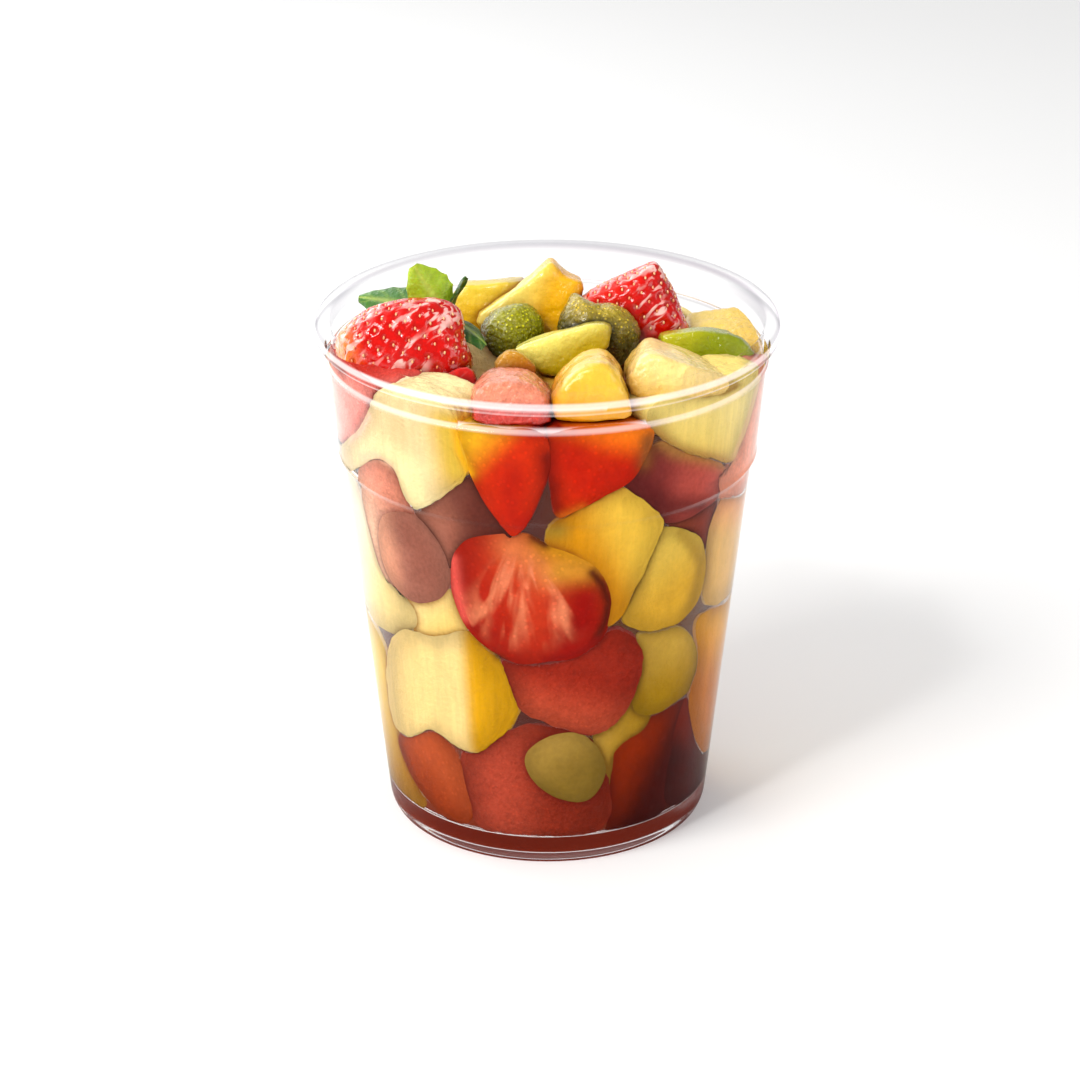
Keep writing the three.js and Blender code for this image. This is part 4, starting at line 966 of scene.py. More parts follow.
def all_pieces():
    """The heap's pieces and the toppings, seeded in the order of the part's source."""
    heap = [outlined_piece(*row, seed=i + 1) for i, row in enumerate(WALL_PIECES)]
    heap += back_pieces(len(heap) + 1)
    heap += upper_pieces(len(heap) + 1)
    heap += edge_pieces(EDGE_SEED)
    return heap, [topping_piece(*row, seed=TOPPING_SEED + i) for i, row in enumerate(TOPPINGS)]


# ---- Shader nodes ----

def fill(tree, node, inputs):
    """The node with its inputs, by name or number, linked to sockets or set to values."""
    for key, value in inputs.items():
        if isinstance(value, bpy.types.NodeSocket):
            tree.links.new(value, node.inputs[key])
        else:
            node.inputs[key].default_value = value
    return node


def put(tree, kind, inputs=None, **settings):
    """A new node with its settings and its inputs."""
    made = tree.nodes.new(kind)
    for key, value in settings.items():
        setattr(made, key, value)
    return fill(tree, made, inputs or {})


def maths(tree, operation, *values, clamp=False):
    """Output of a Math node."""
    inputs = dict(enumerate(values))
    return put(tree, "ShaderNodeMath", inputs, operation=operation, use_clamp=clamp).outputs[0]


def product(tree, value, *others):
    """The value multiplied by the others in turn."""
    for other in others:
        value = maths(tree, "MULTIPLY", value, other)
    return value


def spread(tree, value, low, high, to_low=0.0, to_high=1.0):
    """value carried from the range low to high to another one, smoothly and held at its ends."""
    inputs = {"Value": value, "From Min": low, "From Max": high, "To Min": to_low, "To Max": to_high}
    made = put(tree, "ShaderNodeMapRange", inputs, interpolation_type="SMOOTHSTEP")
    return made.outputs["Result"]


def noise(tree, where, scale, detail=2.0, **more):
    """Output of a Noise Texture node."""
    inputs = {"Vector": where, "Scale": scale, "Detail": detail, **more}
    return put(tree, "ShaderNodeTexNoise", inputs).outputs["Fac"]


def split(tree, vector):
    """The X, Y and Z of a vector."""
    return put(tree, "ShaderNodeSeparateXYZ", {"Vector": vector}).outputs


def joined(tree, **axes):
    """A vector of its X, Y and Z."""
    return put(tree, "ShaderNodeCombineXYZ", axes).outputs[0]


def own_place(tree):
    """The place on the piece in the frame's metres."""
    return put(tree, "ShaderNodeTexCoord").outputs["Object"]


def read(tree, name, output="Fac"):
    """Output of an Attribute node that reads one of a piece's values."""
    return put(tree, "ShaderNodeAttribute", attribute_name=name).outputs[output]


def bumped(tree, height, depth):
    """Normal of a surface that the height lifts by up to depth, in metres."""
    inputs = {"Height": height, "Strength": 1.0, "Distance": depth}
    return put(tree, "ShaderNodeBump", inputs).outputs[0]


def rgba(code):
    """Opaque colour for a socket from six hex digits."""
    return (*(float(v) for v in tone(code)), 1.0)


def blend_colours(tree, share, first, second):
    """Colour mixed from first to second by share. A colour is a socket or six hex digits."""
    first, second = (rgba(c) if isinstance(c, str) else c for c in (first, second))
    inputs = {0: share, 6: first, 7: second}
    return put(tree, "ShaderNodeMix", inputs, data_type="RGBA").outputs[2]


# ---- Effects that several materials use ----

# Sockets that don't hold a number
SOCKET_KINDS = {
    "Vector": "Vector", "Within": "Vector", "Colour": "Color", "Juice": "Color", "Ray": "Color",
    "Tint": "Color", "Painted_highlight": "Color",
}


def shader_group(name, build, **inputs):
    """Node group with named inputs and their values. build takes the tree and its inputs and
    returns the sockets that go out, by name."""
    tree = bpy.data.node_groups.new(name, "ShaderNodeTree")

    def add_socket(label, in_out):
        """A socket of the kind that its name stands for."""
        kind = "NodeSocket" + SOCKET_KINDS.get(label, "Float")
        return tree.interface.new_socket(label, in_out=in_out, socket_type=kind)

    for label, value in inputs.items():
        made = add_socket(label, "INPUT")
        if value is not None:
            made.default_value = value
    outputs = build(tree, put(tree, "NodeGroupInput").outputs)
    for label in outputs:
        add_socket(label, "OUTPUT")
    put(tree, "NodeGroupOutput", outputs)
    return tree


def use_group(tree, group, **inputs):
    """A group placed in a material. Returns its outputs."""
    return put(tree, "ShaderNodeGroup", inputs, node_tree=group).outputs


def build_flesh_grain(tree, entry):
    """Cells of juicy flesh under slow cloudy patches. Dots is 1 in the middle of each cell."""
    where, scale = entry["Vector"], entry["Scale"]
    slow = noise(tree, where, product(tree, scale, 0.16), 3.0, Roughness=0.6)
    fine = noise(tree, where, scale, 3.0, Roughness=0.6)
    inputs = {"Vector": where, "Scale": scale}
    cells = put(tree, "ShaderNodeTexVoronoi", inputs, feature="F1").outputs["Distance"]
    patches = spread(tree, slow, 0.3, 0.7)
    specks = spread(tree, fine, 0.3, 0.7)
    both = maths(tree, "MULTIPLY_ADD", specks, 0.4, product(tree, patches, 0.4))
    return {
        "Tone": maths(tree, "MULTIPLY_ADD", cells, 0.3, both),
        "Height": maths(tree, "MULTIPLY_ADD", cells, -0.6, specks),
        "Dots": spread(tree, cells, 0.34, 0.14),
    }


def build_fibres(tree, entry):
    """Fibres that run along the piece's own Z, from noise drawn out along it."""
    axes = split(tree, entry["Vector"])
    along = maths(tree, "DIVIDE", axes["Z"], entry["Stretch"])
    drawn = joined(tree, X=axes["X"], Y=axes["Y"], Z=along)
    strands = noise(tree, drawn, entry["Scale"], 4.0, Roughness=0.65)
    return {"Tone": spread(tree, strands, 0.35, 0.65), "Height": strands}


def build_juice_and_shade(tree, entry):
    """The flesh's own colour made lighter and darker by a tone, then darkened towards the juice colour
    in the seams between pieces, as juice and painted shade."""
    swing = maths(tree, "SUBTRACT", entry["Tone"], 0.5)
    level = maths(tree, "MULTIPLY_ADD", swing, entry["Contrast"], 1.0)
    lit = put(tree, "ShaderNodeVectorMath", {0: entry["Colour"], "Scale": level}, operation="SCALE")
    share = maths(tree, "MULTIPLY", entry["Stain"], entry["Amount"], clamp=True)
    return {"Colour": blend_colours(tree, share, lit.outputs[0], entry["Juice"])}


def build_wet_film(tree, entry):
    """Roughness from Wet to Dry in patches of slow noise."""
    share = spread(tree, noise(tree, entry["Vector"], entry["Scale"]), 0.4, 0.65)
    gap = maths(tree, "SUBTRACT", entry["Dry"], entry["Wet"])
    return {"Roughness": maths(tree, "MULTIPLY_ADD", share, gap, entry["Wet"])}


def build_berry_heart(tree, entry):
    """Face of a halved berry in the piece's XZ plane: pale streaks of noise that fan out downwards
    from a hub at its top and fade towards its sides. Face is 1 on the cut and 0 on the skin."""
    axes = split(tree, entry["Within"])
    right = maths(tree, "ADD", axes["X"], HEART_HUB[0])
    down = maths(tree, "SUBTRACT", HEART_HUB[1], axes["Z"])
    angle = maths(tree, "ARCTAN2", right, down)
    squares = [maths(tree, "POWER", value, 2.0) for value in (right, down)]
    away = maths(tree, "SQRT", maths(tree, "ADD", *squares))
    drawn = joined(tree, X=product(tree, angle, 5.2), Y=product(tree, away, 1.1))
    streaks = spread(tree, noise(tree, drawn, 1.0, Roughness=0.5, Distortion=0.5), 0.4, 0.66)
    sides = product(tree, spread(tree, angle, -0.75, -0.35), spread(tree, angle, 0.62, 0.45))
    ends = product(tree, spread(tree, away, 0.3, 0.75), spread(tree, away, 1.95, 1.5))
    share = product(tree, streaks, product(tree, sides, ends, entry["Face"]), 0.8)
    return {"Colour": blend_colours(tree, share, entry["Colour"], entry["Ray"])}


def build_painted_gloss_streaks(tree, entry):
    """Painted highlight streaks on a wet berry: noise drawn out along a slanting line, in patches."""
    inputs = {"Vector": entry["Vector"], "Angle": entry["Slant"]}
    turned = put(tree, "ShaderNodeVectorRotate", inputs, rotation_type="Y_AXIS").outputs[0]
    inputs = {0: turned, 1: (0.28, 1.0, 1.0)}
    drawn = put(tree, "ShaderNodeVectorMath", inputs, operation="MULTIPLY").outputs[0]
    streaks = spread(tree, noise(tree, drawn, entry["Scale"], Distortion=0.6), 0.5, 0.58)
    patch = spread(tree, noise(tree, entry["Vector"], 120.0), 0.4, 0.6)
    return {"Highlight_share": product(tree, streaks, patch)}


def build_moulded_haze_and_highlights(tree, entry):
    """Milky haze of the cup's lip, the line under it and the bead, by height: a tint for what
    is seen through it, greyed as painted shade at the rim's top edges at the back and at its sides; a
    pale painted highlight, stronger at the front and greyer on the right; and its roughness."""
    axes = split(tree, entry["Vector"])
    flat = joined(tree, X=axes["X"], Y=axes["Y"])
    radius = put(tree, "ShaderNodeVectorMath", {0: flat}, operation="LENGTH").outputs["Value"]

    def band(part):
        """1 within a milky part of the cup, and smoothly less above and below it."""
        start, full, fall, end = (level * MM for level in HAZE_BANDS[part])
        return product(tree, spread(tree, axes["Z"], start, full), spread(tree, axes["Z"], end, fall))

    # Painted highlight: a pale emission on the lip, skirt and bead, stronger at the front and greyer on the
    # right
    lip = product(tree, band("lip"), spread(tree, radius, 0.0465, 0.0475))
    below = maths(tree, "ADD", product(tree, band("skirt"), 0.45), product(tree, band("bead"), 0.7))
    share = maths(tree, "ADD", lip, below)
    front = spread(tree, axes["Y"], 0.03, -0.03)
    strength = product(tree, share, maths(tree, "MULTIPLY_ADD", front, 0.34, 0.46))
    side = spread(tree, axes["X"], -0.03, 0.03)
    painted_glow = blend_colours(tree, side, "fcfcfa", "e4dce0")

    # Painted shade: grey in what is seen through the rim's top at the back and through its sides
    outer, inner = spread(tree, radius, 0.0475, 0.0488), spread(tree, radius, 0.0468, 0.0458)
    top = spread(tree, axes["Z"], 0.1112, 0.1131)
    edges = product(tree, maths(tree, "ADD", outer, inner), top, maths(tree, "SUBTRACT", 1.0, front))
    sides = spread(tree, maths(tree, "ABSOLUTE", axes["X"]), 0.036, 0.0475)
    edges = maths(tree, "MAXIMUM", edges, product(tree, sides, band("sides"), 0.8))
    tint = blend_colours(tree, share, "ffffff", "a8a4a6")
    return {
        "Tint": blend_colours(tree, edges, tint, "aaa8b0"),
        "Painted_highlight": blend_colours(tree, strength, "000000", painted_glow),
        "Roughness": maths(tree, "MULTIPLY_ADD", spread(tree, axes["Z"], 0.108, 0.11), 0.18, 0.02),
    }


FLESH_GRAIN = shader_group("flesh_grain", build_flesh_grain, Vector=None, Scale=800.0)
FIBRES = shader_group("fibres", build_fibres, Vector=None, Scale=800.0, Stretch=6.0)
JUICE_AND_SHADE = shader_group("juice_shade_group", build_juice_and_shade, Colour=None, Juice=None, Stain=0.0,
                           Amount=1.0, Tone=0.5, Contrast=0.3)
WET_FILM = shader_group("wet_film", build_wet_film, Vector=None, Scale=120.0, Wet=0.12, Dry=0.4)
BERRY_HEART = shader_group("berry_heart", build_berry_heart, Within=None, Face=1.0, Colour=None,
                           Ray=None)
PAINTED_GLOSS_STREAKS = shader_group("painted_gloss_streaks", build_painted_gloss_streaks, Vector=None, Scale=560.0,
                             Slant=0.7)
MOULDED_HAZE_AND_HIGHLIGHTS = shader_group("moulded_haze_and_highlights", build_moulded_haze_and_highlights, Vector=None)


# ---- Materials ----

def new_material(name):
    """Empty material. Returns it, its tree and its Principled BSDF."""
    material = bpy.data.materials.new(name)
    material.use_nodes = True
    tree = material.node_tree
    tree.nodes.clear()
    shader = put(tree, "ShaderNodeBsdfPrincipled")
    put(tree, "ShaderNodeOutputMaterial", {"Surface": shader.outputs[0]})
    return material, tree, shader


def finish(tree, shader, **inputs):
    """The shader's own inputs linked or set, with spaces in their names as underscores."""
    fill(tree, shader, {label.replace("_", " "): value for label, value in inputs.items()})


def flesh_material(name, behind_wall=False, *, grain_scale, contrast, juice, relief=0.12, fibre=None,
                   wet=(0.14, 0.4), dots=0.0, berry=False):
    """Wet fruit flesh or skin: the piece's own tint, made lighter and darker by grain, by dots and
    by fibres of a scale, stretch and share, with juice and painted shade in the seams. relief is the
    depth of its bump in millimetres, and wet its lowest and highest roughness. A berry has its heart
    on a cut face, pits painted darker as shade and, on top, pinkish-white streaks painted as a
    highlight. Behind the wall there is no gloss of its own, because juice joins it to the plastic."""
    material, tree, shader = new_material(name)
    where = read(tree, "grain", "Vector")
    grain = use_group(tree, FLESH_GRAIN, Vector=where, Scale=grain_scale)
    light, height = grain["Tone"], grain["Height"]
    if fibre:
        scale, stretch, share = fibre
        strands = use_group(tree, FIBRES, Vector=where, Scale=scale, Stretch=stretch)
        light = put(tree, "ShaderNodeMix", {0: share, 2: light, 3: strands["Tone"]}).outputs[0]
        height = maths(tree, "ADD", height, strands["Height"])
    if dots:
        light = maths(tree, "MULTIPLY_ADD", grain["Dots"], dots, light)
    colour = read(tree, "tint", "Color")
    if berry:
        colour = use_group(tree, BERRY_HEART, Within=read(tree, "within", "Vector"),
                           Face=read(tree, "cut"), Colour=colour, Ray=rgba("dc8058"))["Colour"]
        # Painted shade: the flesh is darker deep in the pits
        colour = blend_colours(tree, product(tree, read(tree, "pit"), 0.45), colour, "8c0a06")
    if berry and not behind_wall:
        # Painted highlight: pale pink streaks painted into the colour of the berries on top
        streaks = use_group(tree, PAINTED_GLOSS_STREAKS, Vector=where)["Highlight_share"]
        colour = blend_colours(tree, product(tree, streaks, 0.8), colour, "ffccc4")
    # Juice and painted shade: the seams darken towards the fruit's juice colour
    stained = use_group(tree, JUICE_AND_SHADE, Colour=colour, Juice=rgba(juice), Stain=read(tree, "juice_shade"),
                        Amount=0.85, Tone=light, Contrast=contrast)
    film = use_group(tree, WET_FILM, Vector=where, Wet=wet[0], Dry=wet[1])
    finish(tree, shader, Base_Color=stained["Colour"], Roughness=film["Roughness"],
           Normal=bumped(tree, height, relief * MM), IOR=1.4,
           Subsurface_Weight=0.12, Subsurface_Scale=0.002, Subsurface_Radius=(1.0, 0.6, 0.35),
           Coat_Weight=0.0 if behind_wall else 0.35, Coat_Roughness=0.08,
           Specular_IOR_Level=0.04 if behind_wall else 0.5)
    return material


# Each fruit's finish. A green_grape is a pale grape, and kiwi_flesh is a slice with no dark seeds
# Each juice colour is also the colour of the painted shade in that fruit's seams
FRUIT_FINISH = {
    "strawberry": dict(grain_scale=620.0, contrast=0.4, wet=(0.08, 0.28), relief=0.06, dots=0.6,
                       juice="4a0804", berry=True),
    "mango": dict(grain_scale=700.0, contrast=0.22, fibre=(420.0, 7.0, 0.5), relief=0.1,
                  juice="7a3408"),
    "pineapple": dict(grain_scale=900.0, contrast=0.18, fibre=(520.0, 9.0, 0.7), relief=0.14,
                      juice="84500c"),
    "watermelon": dict(grain_scale=900.0, contrast=0.55, relief=0.18, dots=0.4, juice="5a1008"),
    "melon": dict(grain_scale=900.0, contrast=0.24, fibre=(300.0, 3.0, 0.3), relief=0.1,
                  juice="5c3c0c"),
    "grape": dict(grain_scale=1000.0, contrast=0.4, wet=(0.16, 0.45), relief=0.05, juice="2c0c08"),
    "green_grape": dict(grain_scale=700.0, contrast=0.3, relief=0.05, juice="3c2c0c"),
    "kiwi": dict(grain_scale=1050.0, contrast=1.0, relief=0.3, dots=1.8, juice="101804"),
    "kiwi_flesh": dict(grain_scale=800.0, contrast=0.3, fibre=(300.0, 4.0, 0.4), relief=0.1,
                       juice="2c3404"),
    "peach": dict(grain_scale=900.0, contrast=0.3, fibre=(500.0, 5.0, 0.4), juice="80380c"),
}


def clear_plastic(name, index):
    """Clear plastic, milky where it is thick, with a pale painted highlight on its lip, skirt and
    bead and painted grey shade at the rim's edges. Rays from lamps and from matt surfaces pass it
    straight, so that the fruit behind it is lit."""
    material, tree, shader = new_material(name)
    where = own_place(tree)
    haze = use_group(tree, MOULDED_HAZE_AND_HIGHLIGHTS, Vector=where)
    finish(tree, shader, Base_Color=haze["Tint"], Roughness=haze["Roughness"], IOR=index,
           Transmission_Weight=1.0, Emission_Color=haze["Painted_highlight"], Emission_Strength=1.0,
           Normal=bumped(tree, noise(tree, where, 90.0), 0.00004))
    path = put(tree, "ShaderNodeLightPath").outputs
    straight = maths(tree, "MAXIMUM", path["Is Shadow Ray"], path["Is Diffuse Ray"])
    clear = put(tree, "ShaderNodeBsdfTransparent", {"Color": (0.95, 0.95, 0.95, 1)})
    inputs = {0: straight, 1: shader.outputs[0], 2: clear.outputs[0]}
    mixed = put(tree, "ShaderNodeMixShader", inputs)
    output = next(n for n in tree.nodes if n.type == "OUTPUT_MATERIAL")
    fill(tree, output, {"Surface": mixed.outputs[0]})
    return material


def core_material():
    """Dark pulp and juice behind the pieces, painted dark as the shade in the gaps between them."""
    material, tree, shader = new_material("dark_pulp")
    grain = use_group(tree, FLESH_GRAIN, Vector=own_place(tree), Scale=500.0)
    finish(tree, shader, Base_Color=blend_colours(tree, grain["Tone"], "3a0e08", "7c2c1a"),
           Roughness=0.3, IOR=1.36, Normal=bumped(tree, grain["Height"], 0.0003))
    return material


def juice_material():
    """Cloudy juice: red at the bottom, brown higher up, and much darker low on the right, which is
    painted shade. Its film between the pieces is painted dark brown as juice and shade, and its
    underside carries a painted red-brown emission."""
    material, tree, shader = new_material("fruit_juice")
    where = own_place(tree)
    axes = split(tree, where)
    lift = maths(tree, "MULTIPLY_ADD", noise(tree, where, 60.0, 3.0), 0.02, axes["Z"])
    colour = blend_colours(tree, spread(tree, lift, 0.0, 0.03), "741c0c", "743420")
    # Painted shade: the juice is much darker on the right
    colour = blend_colours(tree, spread(tree, axes["X"], 0.005, 0.03), colour, "340602")
    film = blend_colours(tree, spread(tree, axes["X"], -0.005, 0.015), "4c160a", "5c300a")
    colour = blend_colours(tree, spread(tree, axes["Z"], 0.024, 0.034), colour, film)
    # Painted light: the underside gives off a red-brown emission
    painted_glow = blend_colours(tree, spread(tree, axes["Z"], 0.0075, 0.006), "000000", "5c1c10")
    finish(tree, shader, Base_Color=colour, Roughness=0.2, IOR=1.34, Specular_IOR_Level=0.04,
           Emission_Color=painted_glow, Emission_Strength=1.0)
    return material


def achene_material():
    """Pale straw seeds with browner patches."""
    material, tree, shader = new_material("berry_seed")
    patch = spread(tree, noise(tree, own_place(tree), 700.0), 0.35, 0.65)
    finish(tree, shader, Base_Color=blend_colours(tree, patch, "f8c890", "ec8c5c"),
           Roughness=0.3, Coat_Weight=0.5, Coat_Roughness=0.1)
    return material


def leaf_material():
    """Green leaf with paler veins: vein, the closeness to one, and tint come with the mesh."""
    material, tree, shader = new_material("berry_leaf")
    grain = use_group(tree, FLESH_GRAIN, Vector=read(tree, "grain", "Vector"), Scale=900.0)
    veins = product(tree, read(tree, "vein"), 0.5)
    colour = blend_colours(tree, veins, read(tree, "tint", "Color"), "c0d060")
    toned = use_group(tree, JUICE_AND_SHADE, Colour=colour, Juice=rgba("0c2004"), Stain=0.0,
                      Tone=grain["Tone"], Contrast=0.5)
    finish(tree, shader, Base_Color=toned["Colour"], Roughness=0.38, Subsurface_Weight=0.1,
           Subsurface_Scale=0.001, Normal=bumped(tree, grain["Height"], 0.0001))
    return material


def mirror_share(tree):
    """1 for what a gloss mirrors, and 0 for what is seen straight or through the plastic."""
    path = put(tree, "ShaderNodeLightPath").outputs
    return maths(tree, "SUBTRACT", path["Is Glossy Ray"], path["Is Transmission Ray"], clamp=True)


def floor_material():
    """Pale matt studio floor. Before the cup it is dimmer where it is mirrored, so that it
    doesn't veil the fruit."""
    material, tree, shader = new_material("studio_floor")
    where = own_place(tree)
    colour = blend_colours(tree, noise(tree, where, 3.0), "f4f4f4", "f8f8f8")
    before = spread(tree, split(tree, where)["Y"], 0.06, -0.04)
    dimmed = product(tree, mirror_share(tree), before)
    colour = blend_colours(tree, dimmed, colour, "686868")
    finish(tree, shader, Base_Color=colour, Roughness=0.9, Specular_IOR_Level=0.2)
    return material


# ---- The cup ----

def cup_profile():
    """Wall section of the cup: under the foot, up the outside, over the rolled rim, down inside.
    Each corner has the reach of its rounding."""
    ring = BEAD_HEIGHT / 2
    return round_corners([
        (0, PUNT_DEPTH, 0),
        (FOOT_RADIUS - FOOT_WIDTH - PUNT_DEPTH, PUNT_DEPTH, 1),
        (FOOT_RADIUS - FOOT_WIDTH, 0, 0.8),
        (FOOT_RADIUS, 0, 1),
        (outer_wall(LOWER_WALL_START), LOWER_WALL_START, 1.6),
        (outer_wall(SHOULDER_LEVEL), SHOULDER_LEVEL, 0.7),
        (UPPER_WALL_RADIUS + SHOULDER_REACH, SHOULDER_TOP, 0.3),
        (upper_wall(SHOULDER_TOP + 1), SHOULDER_TOP + 1, 0.4),
        (upper_wall(BEAD_LEVEL - ring), BEAD_LEVEL - ring, 0.3),
        (upper_wall(BEAD_LEVEL) + BEAD_REACH, BEAD_LEVEL, 0.4),
        (upper_wall(BEAD_LEVEL + ring), BEAD_LEVEL + ring, 0.3),
        (NECK_RADIUS, NECK_LEVEL, 1.5),
        (RIM_RADIUS, CUP_HEIGHT - RIM_ROLL_DEPTH, 1.2),
        (RIM_RADIUS, CUP_HEIGHT, 2.1),
        (RIM_INNER_RADIUS, CUP_HEIGHT, 1.4),
        (RIM_INNER_RADIUS, BEAD_LEVEL + 3, 4),
        (upper_wall(SHOULDER_TOP) - WALL_THICKNESS, SHOULDER_TOP, 0.7),
        (outer_wall(SHOULDER_LEVEL) - WALL_THICKNESS, SHOULDER_LEVEL, 0.7),
        (outer_wall(FLOOR_TOP) - WALL_THICKNESS, FLOOR_TOP, FLOOR_FILLET),
        (0, FLOOR_TOP, 0),
    ])


def build_cup():
    """The cup as one turned wall, with a slot of its own for what is above the bead."""
    points, faces = turned_profile(cup_profile(), CUP_SEGMENTS)
    cup = make_piece("cup_wall", points, faces, clear_plastic("cup_plastic", index=1.28))
    cup.data.materials.append(clear_plastic("rim_plastic", index=1.005))
    on_rim = points[faces[0]][:, :, 2].mean(1) > BEAD_LEVEL + BEAD_HEIGHT
    slots = np.zeros(len(cup.data.polygons), np.int32)
    slots[:len(on_rim)] = on_rim
    cup.data.polygons.foreach_set("material_index", slots)
    dress(cup, "cup_plastic", "cup")


# ---- The heap, its core and the juice ----

def build_core():
    """Turned core that lies behind the pieces."""
    levels = np.linspace(FLOOR_TOP + 1.5, CORE_TOP - 6, 24)
    side = np.stack([inner_wall(levels) - CORE_INSET, levels], 1)
    crown = [[CORE_CROWN, CORE_TOP - 1], [0, CORE_TOP]]
    profile = np.concatenate([[[0, FLOOR_TOP + 1]], side, crown])
    points, faces = turned_profile(profile, 96)
    dress(make_piece("fruit_core", points, faces, core_material()), "mixed_fruit", "fruit_fill")


def build_juice():
    """Juice that has run to the bottom, where it reaches just into the wall but less deep than any
    piece, and its film between the pieces a little way in from the wall, dark there as juice and
    painted shade. A turned profile, whose part above the shoulder is stretched to end higher at the
    front than at the back."""
    fillet = FLOOR_TOP + FLOOR_FILLET * (1 - np.cos(np.linspace(0.12, 1, 8) * math.pi / 2))
    wall = np.linspace(FLOOR_TOP + FLOOR_FILLET + 1, SHOULDER_LEVEL, 40)
    film = np.linspace(SHOULDER_TOP, FILM_TOP, 8)
    levels = np.concatenate([fillet, wall, film, film[:0:-1], [SHOULDER_LEVEL, JUICE_LEVEL]])
    inset = FILM_GAP - (FILM_GAP + JUICE_BITE) * ease(levels, *JUICE_SHORE)
    inset[-len(film) - 1:] = FILM_DEPTH
    side = np.stack([inner_wall(levels) - inset, levels], 1)
    base = [[0, FLOOR_TOP - JUICE_SINK], [side[0, 0] - 0.5, FLOOR_TOP - JUICE_SINK]]
    profile = np.concatenate([base, side, [[0, JUICE_LEVEL]]])
    points, faces = turned_profile(profile, CUP_SEGMENTS)
    radius = np.hypot(points[:, 0], points[:, 1])
    above = np.maximum(points[:, 2] - SHOULDER_TOP, 0)
    rise = above * (FILM_SWING * -points[:, 1] / np.maximum(radius, 1)) / (FILM_TOP - SHOULDER_TOP)
    points[:, :2] *= (1 + UPPER_WALL_SLOPE * rise / np.maximum(radius, 1))[:, None]
    points[:, 2] += rise
    dress(make_piece("juice_pool", points, faces, juice_material()), "juice", "fruit_fill")


def rows_for(piece):
    """Rows of faces along a side of a piece: more where it is seen close by."""
    if piece["name"].startswith(("back_", "upper_", "edge_")):
        return 20 if piece["fruit"] != "strawberry" else 26
    if piece["shape"] == "half":
        return 64
    return 40


def slot_for(fruit):
    """The record's slot of a fruit."""
    return {"green_grape": "grape", "kiwi_flesh": "kiwi"}.get(fruit, fruit)


def build_heap(heap, tops):
    """The heap, one mesh for each fruit at the wall and one for each between the toppings."""
    for zone, on_wall in (("wall", True), ("upper", False)):
        for fruit, look in FRUIT_FINISH.items():
            here = [p for p in heap if p["fruit"] == fruit and p["on_wall"] == on_wall]
            if here:
                skins = [skin_mesh(p, rows_for(p), heap + tops) for p in here]
                points, faces, values = join_parts(skins)
                material = flesh_material(f"{fruit}_{zone}", on_wall, **look)
                piece = make_piece(f"{fruit}_{zone}_pieces", points, [faces], material, values)
                dress(piece, slot_for(fruit), "fruit_fill")


def build_toppings(heap, tops):
    """Each topping as a piece of its own over its node."""
    materials = {fruit: flesh_material(f"{fruit}_topping", **FRUIT_FINISH[fruit])
                 for fruit in sorted({top["fruit"] for top in tops})}
    for top in tops:
        rows = 60 if top["fruit"] == "strawberry" else 40
        points, faces, values = skin_mesh(top, rows, heap + tops)
        piece = make_piece(f"{top['name']}_fruit", points, [faces], materials[top["fruit"]], values)
        dress(piece, slot_for(top["fruit"]), top["name"])


def build_achenes(heap, tops):
    """Seeds of the berries, one mesh for the heap and one for the toppings."""
    material = achene_material()
    for name, group, node in (("heap_seeds", heap, ["fruit_fill"]), ("topping_seeds", tops, [])):
        berries = [p for p in group if p["seeded"]]
        points, faces, _ = join_parts([achene_mesh(p, heap + tops) for p in berries])
        dress(make_piece(name, points, [faces], material), "strawberry", *node)


# ---- Leaves ----

def leaf_mesh(leaf, seed):
    """One closed blade from its root along +X. Its half width is a sine of the way along with
    small teeth on it, it bends down with the square of the way along and across, and its two faces
    are the same grid shifted by half the thickness, joined round the edge."""
    rows, columns = 40, 24
    along, across = np.meshgrid(np.linspace(0, 1, rows), np.linspace(-1, 1, columns), indexing="ij")
    half_width = leaf["width"] / 2 * (0.12 + 0.88 * np.sin(math.pi * (0.12 + 0.85 * along)))
    teeth = 1 + 0.09 * (1 - np.abs(np.sin(along * math.pi * 5 + seed))) * np.abs(across) ** 4
    side_vein = np.abs(np.sin((along * 5 - np.abs(across) * 1.1) * math.pi))
    vein = np.maximum(np.exp(-(across * 6) ** 2), 0.6 * np.exp(-(side_vein * 5) ** 2))
    bend = -leaf["curl"] * along ** 2 - 0.12 * leaf["width"] * across ** 2
    bend = bend + 0.25 * np.sin(along * 9 + seed) * across
    edge = np.prod([np.sqrt(np.clip(1 - v ** 8, 0, 1)) for v in (across, 2 * along - 1)], 0)
    sheets = []
    for side in (1, -1):
        z = bend + side * (LEAF_THICKNESS / 2 * edge) - 0.12 * vein * (side > 0)
        sheets.append(np.stack([along * leaf["length"], across * half_width * teeth, z], -1))
    points = np.concatenate([sheet.reshape(-1, 3) for sheet in sheets])
    low = rows * columns
    number = np.arange(low).reshape(rows, columns)
    top = np.stack([number[:-1, :-1], number[1:, :-1], number[1:, 1:], number[:-1, 1:]], -1)
    under = top[..., ::-1] + low
    rim = np.concatenate([number[:-1, 0], number[-1, :-1], number[:0:-1, -1], number[0, :0:-1]])
    following = np.roll(rim, -1)
    edge_faces = np.stack([rim, rim + low, following + low, following], 1)
    turn = turn_matrix(leaf["heading"], -leaf["lift"], leaf["twist"])
    colour, tip = tone(leaf["colour"]), tone(leaf["tip"])
    values = {
        "tint": colour + (tip - colour) * np.tile(along.ravel(), 2)[:, None],
        "grain": points * MM + GRAIN_SHIFT * seed,
        "vein": np.tile(vein.ravel(), 2),
    }
    faces = np.concatenate([top.reshape(-1, 4), under.reshape(-1, 4), edge_faces])
    return points @ turn.T + np.array(CALYX_HUB), faces, values


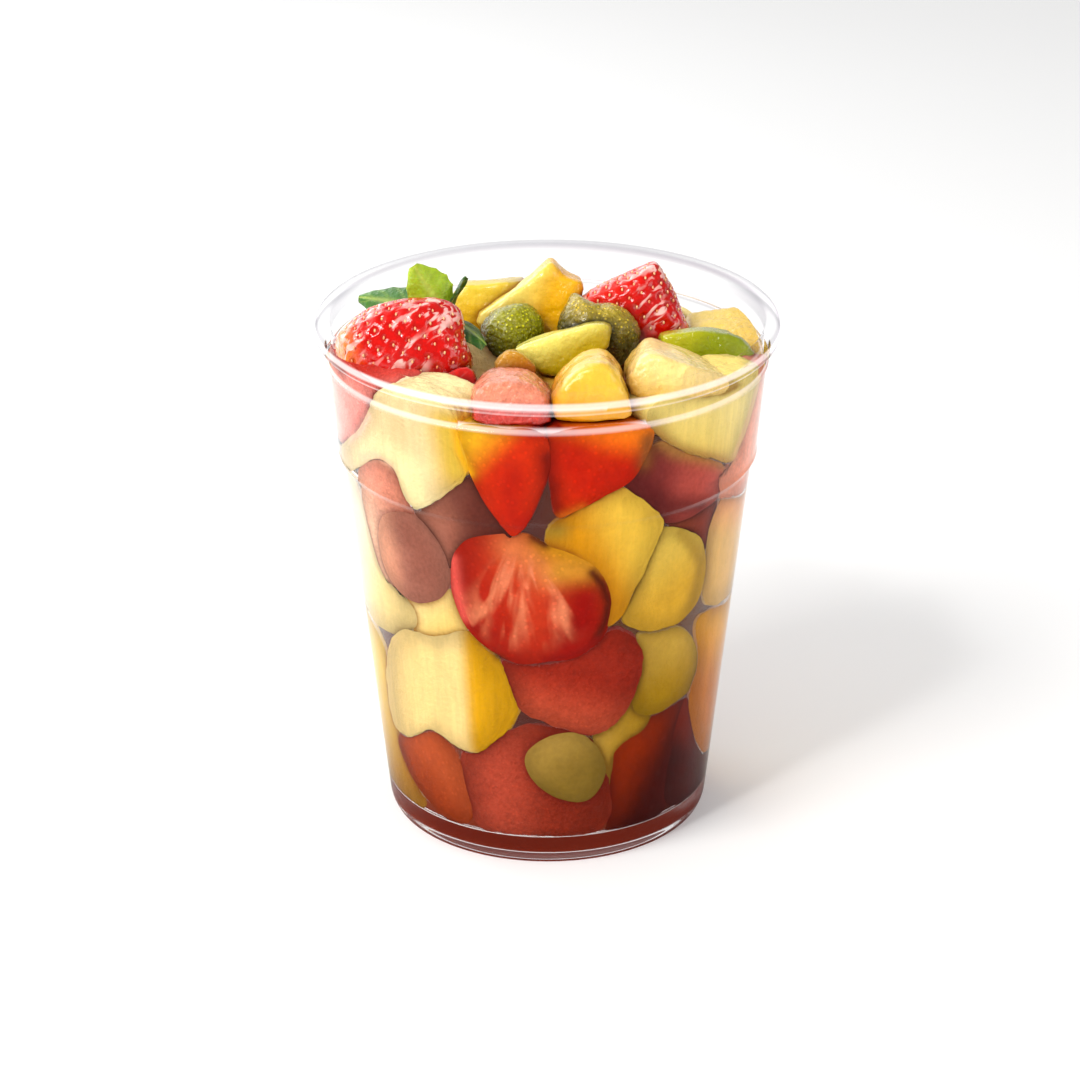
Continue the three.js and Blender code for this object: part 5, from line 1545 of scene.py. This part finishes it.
def build_leaves():
    """The calyx: its hub and four blades."""
    grid, faces = box_grid(12)
    way = grid / np.linalg.norm(grid, axis=1)[:, None]
    hub = way * np.array(HUB_SIZE) / 2
    tint = np.tile(tone("3c6010"), (len(hub), 1))
    values = {"tint": tint, "grain": hub * MM, "vein": np.zeros(len(hub))}
    parts = [(hub + np.array(CALYX_HUB), faces, values)]
    parts += [leaf_mesh(leaf, i + 1) for i, leaf in enumerate(LEAVES)]
    points, faces, values = join_parts(parts)
    piece = make_piece("calyx_leaves", points, [faces], leaf_material(), values)
    dress(piece, "leaf", "calyx_left")


# ---- Studio ----

def build_studio():
    """Pale floor, soft lights and an even pale surround."""
    profile = [(0, -20), (2500, -20), (2500, 0), (0, 0)]
    points, faces = turned_profile(profile, 96)
    make_piece("studio_floor", points, faces, floor_material(), smooth=False)
    world = bpy.data.worlds.new("studio")
    world.use_nodes = True
    tree = world.node_tree
    path = put(tree, "ShaderNodeLightPath").outputs
    seen = maths(tree, "MAXIMUM", path["Is Camera Ray"], path["Is Transmission Ray"])
    lit = maths(tree, "MULTIPLY_ADD", seen, 1.0 - SURROUND_LIGHT, SURROUND_LIGHT)
    way = put(tree, "ShaderNodeTexCoord").outputs["Generated"]
    towards = put(tree, "ShaderNodeVectorMath", {0: way, 1: BRIGHT_SIDE}, operation="DOT_PRODUCT")
    bright = spread(tree, towards.outputs["Value"], 0.1, 0.9, *SURROUND_MIRRORED)
    mirrored = product(tree, mirror_share(tree), maths(tree, "SUBTRACT", bright, SURROUND_LIGHT))
    strength = maths(tree, "ADD", lit, mirrored)
    fill(tree, tree.nodes["Background"], {"Color": (1, 1, 1, 1), "Strength": strength})
    bpy.context.scene.world = world
    area_light("key_light", (-0.5, -0.45, 0.7), 0.4, 6.0, (1, 0.98, 0.95))
    area_light("sparkle_light", (-0.3, -0.5, 0.75), 0.07, 1.2)
    area_light("side_light", (0.6, -0.3, 0.35), 0.35, 1.0)
    area_light("back_light", (-0.45, 0.5, 0.35), 0.5, 2.0)
    bpy.context.scene.view_settings.view_transform = "Standard"


make_camera()
build_studio()
build_cup()
build_core()
build_juice()
heap_list, topping_list = all_pieces()
build_heap(heap_list, topping_list)
build_toppings(heap_list, topping_list)
build_achenes(heap_list, topping_list)
build_leaves()
